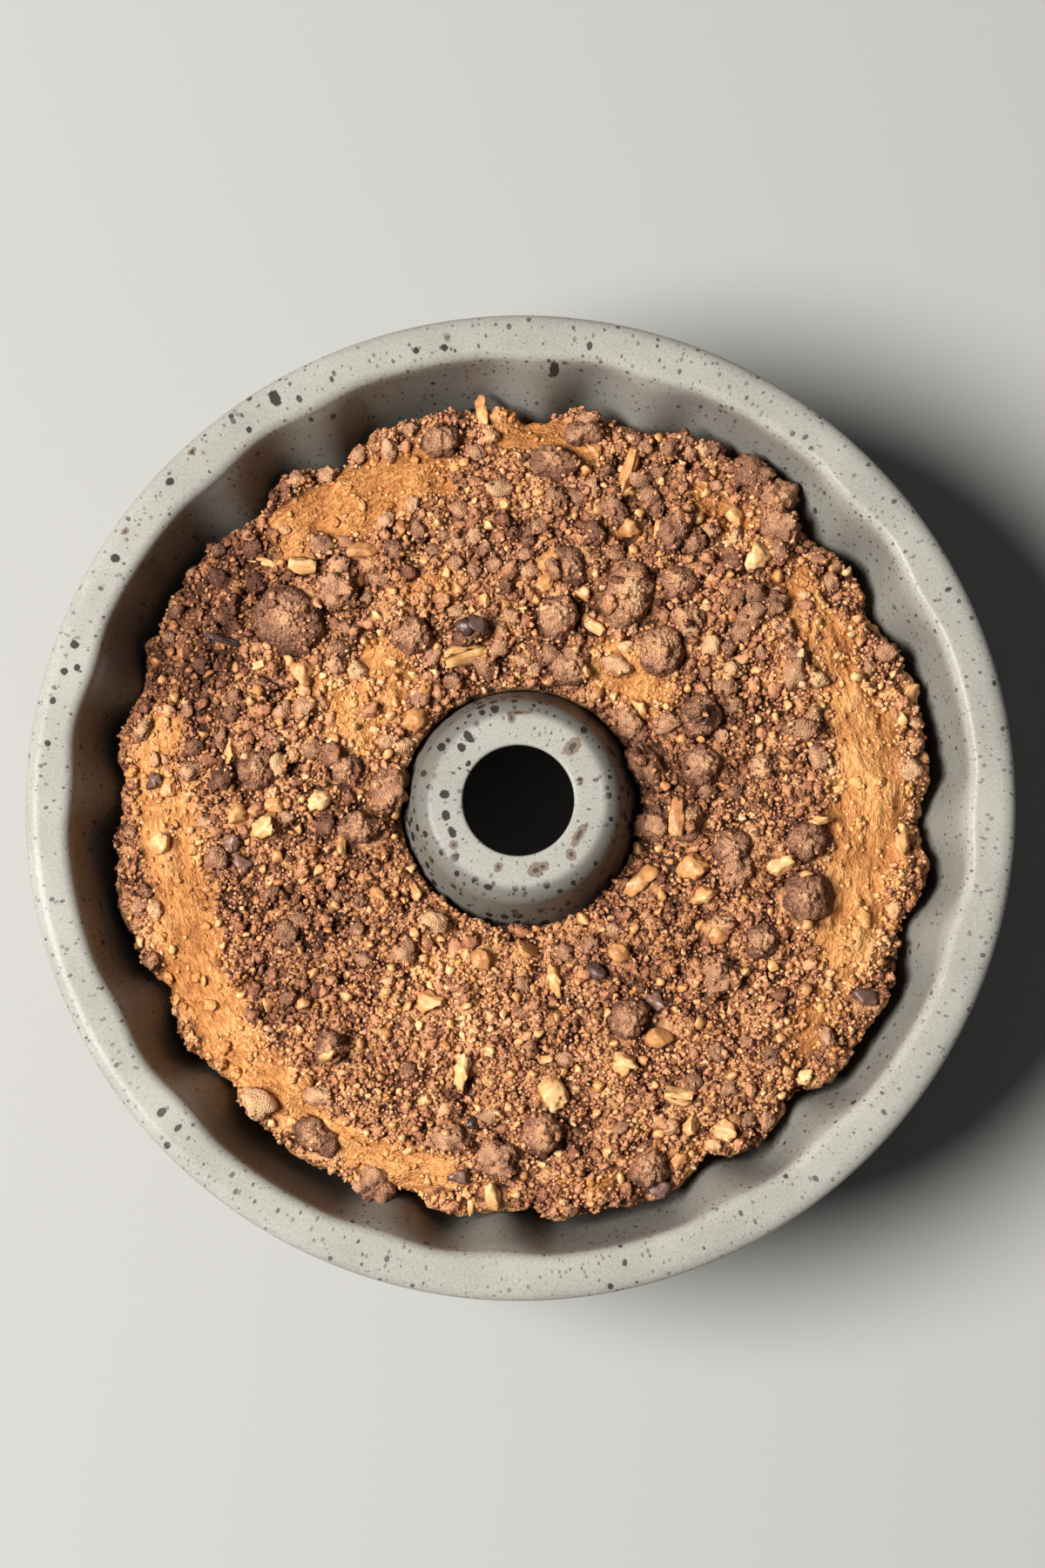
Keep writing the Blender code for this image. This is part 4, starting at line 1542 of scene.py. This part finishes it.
# The darkest stop is reached in the hollows under the crumbs: painted shade between them
CRUST_TOPPED = (
    (0.18, (0.060, 0.024, 0.012)),
    (0.38, (0.27, 0.112, 0.052)),
    (0.55, (0.50, 0.225, 0.098)),
    (0.78, (0.68, 0.360, 0.160)),
)
LUMP_TONES = (
    (0.00, (0.120, 0.048, 0.030)),
    (0.25, (0.24, 0.110, 0.064)),
    (0.50, (0.43, 0.210, 0.118)),
    (0.75, (0.64, 0.355, 0.195)),
    (1.00, (0.74, 0.450, 0.235)),
)
CRUMB_TONES = (
    (0.00, (0.095, 0.036, 0.020)),
    (0.25, (0.23, 0.090, 0.047)),
    (0.50, (0.48, 0.206, 0.106)),
    (0.75, (0.68, 0.325, 0.160)),
    (1.00, (0.80, 0.490, 0.250)),
)
GOLDEN_TONES = (
    (0.00, (0.26, 0.100, 0.034)),
    (0.40, (0.52, 0.215, 0.066)),
    (0.70, (0.68, 0.315, 0.105)),
    (1.00, (0.80, 0.460, 0.185)),
)
NUT_TONES = (
    (0.15, (0.30, 0.112, 0.038)),
    (0.40, (0.54, 0.238, 0.086)),
    (0.70, (0.71, 0.362, 0.135)),
    (1.00, (0.83, 0.535, 0.245)),
)
SKIN_TONES = ((0.00, (0.035, 0.020, 0.016)), (0.40, (0.11, 0.058, 0.045)), (0.80, (0.30, 0.160, 0.120)))
CRUMB_SHINE = 0.2


def crust_material(sand):
    """Golden folds where bare, dark and grainy under the crumbs. Both are paler on the relief's heights and
    darker in its hollows and between its grains: painted shade.
    """
    material, tree, shader = new_material("golden_crust")
    grain = placed_group(tree, sand, object_place(tree), Grain=1100.0)
    strands = clouds(tree, attribute(tree, "fold_place", "Vector"), 420.0, 4.0, 0.65)
    rise = stretched(tree, attribute(tree, "rise"), -1.8, 1.8)
    shift = times(tree, minus(tree, attribute(tree, "tone"), 0.5), 0.6)
    contrast = times(tree, stretched(tree, strands, 0.32, 0.68), 0.50)
    # Painted shade: the bare dough is paler where the relief rises
    bare_tone = plus(tree, contrast, times(tree, rise, 0.42))
    bare = ramp(tree, plus(tree, bare_tone, shift), CRUST_BARE)
    # Painted shade: under the crumbs the crust is darker between its grains and in the hollows, and paler on
    # the heaps
    grains = times(tree, grain["Height"], 0.36)
    hollow_shade = times(tree, minus(tree, rise, 0.5), 0.9)
    cloud = times(tree, minus(tree, grain["Cloud"], 0.5), 0.5)
    brown_tone = plus(tree, plus(tree, plus(tree, grains, hollow_shade), cloud), shift)
    brown = ramp(tree, plus(tree, brown_tone, 0.05), CRUST_TOPPED)
    color = blend(tree, attribute(tree, "topped"), bare, brown)
    feed(tree, shader, {"Base Color": color, "Roughness": 0.72, "Specular IOR Level": CRUMB_SHINE})
    bumped(tree, shader, plus(tree, times(tree, strands, 2.2), grain["Height"]), 0.8, 0.0006)
    return material


# How baked crumb looks: grain is how close its grains are, flecks how much paler the sugar and flour grains
# show, contrast how much darker the pits between grains are, partly their own colour and partly painted
# shade, and depth how rough it is
Baked = namedtuple("Baked", "name tones grain flecks contrast depth")
BAKED_LUMP = Baked("baked_lump", LUMP_TONES, 2100.0, 0.34, 0.46, 0.0006)
BROWN_CRUMB = Baked("brown_crumb", CRUMB_TONES, 2300.0, 0.14, 0.42, 0.0003)
GOLDEN_CRUMB = Baked("golden_crumb", GOLDEN_TONES, 1600.0, 0.10, 0.5, 0.0003)


def crumb_material(look, sand):
    """Baked crumb by each piece's own tone, sandy and with pale flecks."""
    material, tree, shader = new_material(look.name)
    grain = placed_group(tree, sand, object_place(tree), Grain=look.grain)
    shift = times(tree, minus(tree, grain["Cloud"], 0.5), 0.7)
    tone = plus(tree, attribute(tree, "tone"), shift)
    # Partly grain colour and partly painted shade: the colour darkens where the grain's height is low, in the
    # pits between grains
    sandy = times(tree, minus(tree, grain["Height"], 0.85), look.contrast)
    flecked = plus(tree, sandy, times(tree, grain["Fleck"], look.flecks))
    color = ramp(tree, plus(tree, tone, flecked), look.tones)
    feed(tree, shader, {"Base Color": color, "Roughness": 0.8, "Specular IOR Level": CRUMB_SHINE})
    bumped(tree, shader, grain["Height"], 0.7, look.depth)
    return material


def nut_material(name, tones, roughness, waxy):
    """Toasted nut: waxy flesh with browner streaks."""
    material, tree, shader = new_material(name)
    streak = clouds(tree, object_place(tree), 380.0, 4.0, 0.6)
    tone = plus(tree, attribute(tree, "tone"), times(tree, minus(tree, streak, 0.5), 1.1))
    feed(tree, shader, {
        "Base Color": ramp(tree, tone, tones),
        "Roughness": roughness,
        "Subsurface Weight": waxy,
        "Subsurface Radius": (0.0012, 0.0007, 0.0003),
    })
    bumped(tree, shader, streak, 0.7, 0.0005)
    return material


# The stage
CAMERA_PLACE = (0.0254, -0.0951, 1.0044)
CAMERA_TURN = (math.radians(6.16), math.radians(1.51), 0.0)
CAMERA_LENS = 83.0
MAIN_LIGHT = {"bearing": 186.0, "elevation": 55.0, "away": 2.2, "across": 1.1, "power": 96.0}
FILL_LIGHT = {"bearing": 60.0, "elevation": 75.0, "away": 1.6, "across": 0.9, "power": 0.5}
WORLD_STRENGTH = 0.045
WORLD_COLOR = (0.92, 0.95, 1.0, 1.0)
FLOOR_REACH = 8.0
FLOOR_COLOR = (0.42, 0.42, 0.41, 1.0)
LIT_HEIGHT = 0.07


def area_light(name, bearing, elevation, away, across, power, color):
    lamp = bpy.data.lights.new(name, "AREA")
    lamp.shape = "DISK"
    lamp.size = across
    lamp.energy = power
    lamp.color = color
    light = bpy.data.objects.new(name, lamp)
    bpy.context.scene.collection.objects.link(light)
    rise = math.radians(elevation)
    middle = Vector((0.0, 0.0, LIT_HEIGHT))
    back = at(bearing, math.cos(rise), math.sin(rise))
    light.location = middle + back * away
    light.rotation_mode = "QUATERNION"
    light.rotation_quaternion = back.to_track_quat("Z", "Y")


def make_stage():
    """A pale floor, a soft studio light and the camera."""
    shape = bmesh.new()
    bmesh.ops.create_grid(shape, x_segments=1, y_segments=1, size=FLOOR_REACH)
    mesh = bpy.data.meshes.new("floor")
    shape.to_mesh(mesh)
    shape.free()
    material, tree, shader = new_material("pale_floor")
    feed(tree, shader, {"Base Color": FLOOR_COLOR, "Roughness": 0.9})
    mesh.materials.append(material)
    floor = bpy.data.objects.new("floor", mesh)
    bpy.context.scene.collection.objects.link(floor)
    area_light("window", **MAIN_LIGHT, color=(1.0, 0.98, 0.94))
    area_light("fill", **FILL_LIGHT, color=(1.0, 0.99, 0.97))
    world = bpy.data.worlds.new("studio")
    world.use_nodes = True
    sky = world.node_tree.nodes["Background"]
    feed(world.node_tree, sky, {"Color": WORLD_COLOR, "Strength": WORLD_STRENGTH})
    bpy.context.scene.world = world
    bpy.context.scene.view_settings.view_transform = "Standard"
    camera = bpy.data.objects.new("camera", bpy.data.cameras.new("camera"))
    bpy.context.scene.collection.objects.link(camera)
    camera.data.lens = CAMERA_LENS
    camera.data.sensor_width = 36.0
    camera.data.clip_start = 0.05
    camera.data.clip_end = 20.0
    camera.rotation_mode = "ZYX"
    camera.location = CAMERA_PLACE
    camera.rotation_euler = CAMERA_TURN
    bpy.context.scene.camera = camera


def node_spots(nodes):
    """The clumps that are nodes, seen from above, as (x, y, size)."""
    boxes = [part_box(name) for name in nodes]
    return [(*((low + high) / 2)[:2], ((high - low).x + (high - low).y) / 2) for low, high in boxes]


# How much of each kind's own width is kept free of what falls later
CLUMPS_COVER = 1.04
NUTS_COVER = 1.2
SMALL_CLUMPS_COVER = 0.9
BITS = {
    "limit": 400,
    "tries": 4000,
    "sizes": (0.0016, 0.0042, 0.0022),
    "share": crumb_share,
    "closeness": 1.5,
}


def make_topping(cake, sand):
    """Everything that lies on the cake, the largest first."""
    lump, crumb, golden = [crumb_material(look, sand) for look in (BAKED_LUMP, BROWN_CRUMB, GOLDEN_CRUMB)]
    flesh = nut_material("toasted_nut", NUT_TONES, 0.45, 0.15)
    skin = nut_material("nut_skin", SKIN_TONES, 0.35, 0.0)
    below = [cake] + [make_clump(name, lump) for name in CLUMP_NODES]
    below.append(make_lumps(lump, tree_of(below)))
    taken = under(node_spots(CLUMP_NODES) + spots_of(LUMPS), CLUMPS_COVER)
    taken |= under(spots_of(NUTS + DARK_BITS), NUTS_COVER)
    pit_place = at(PIT.bearing, PIT.distance)
    taken |= under([(pit_place.x, pit_place.y, 2.0 * PIT.width)], 1.0)
    bits = thrown(random.Random(5), covered=taken, **BITS)
    taken |= under(bits, 1.0)
    ground = tree_of(below)
    make_nuts("nut_pieces", NUTS, bits, ground, flesh)
    make_nuts("nut_skins", DARK_BITS, (), ground, skin)
    for kind, material in ((CLODS, lump), (PEBBLES, crumb)):
        piece, spots = make_loose(kind, taken, ground, material)
        taken |= under(spots, SMALL_CLUMPS_COVER)
        below.append(piece)
    for pair in ((MIDDLING, GOLDEN_BLOBS), (FINE, GOLDEN_GRAINS)):
        ground = tree_of(below)
        below += [make_loose(kind, taken, ground, look)[0] for kind, look in zip(pair, (crumb, golden))]


def main():
    sand = sand_group()
    make_pan(metal_material(speckle_group()))
    make_topping(make_cake(crust_material(sand)), sand)


make_stage()
main()
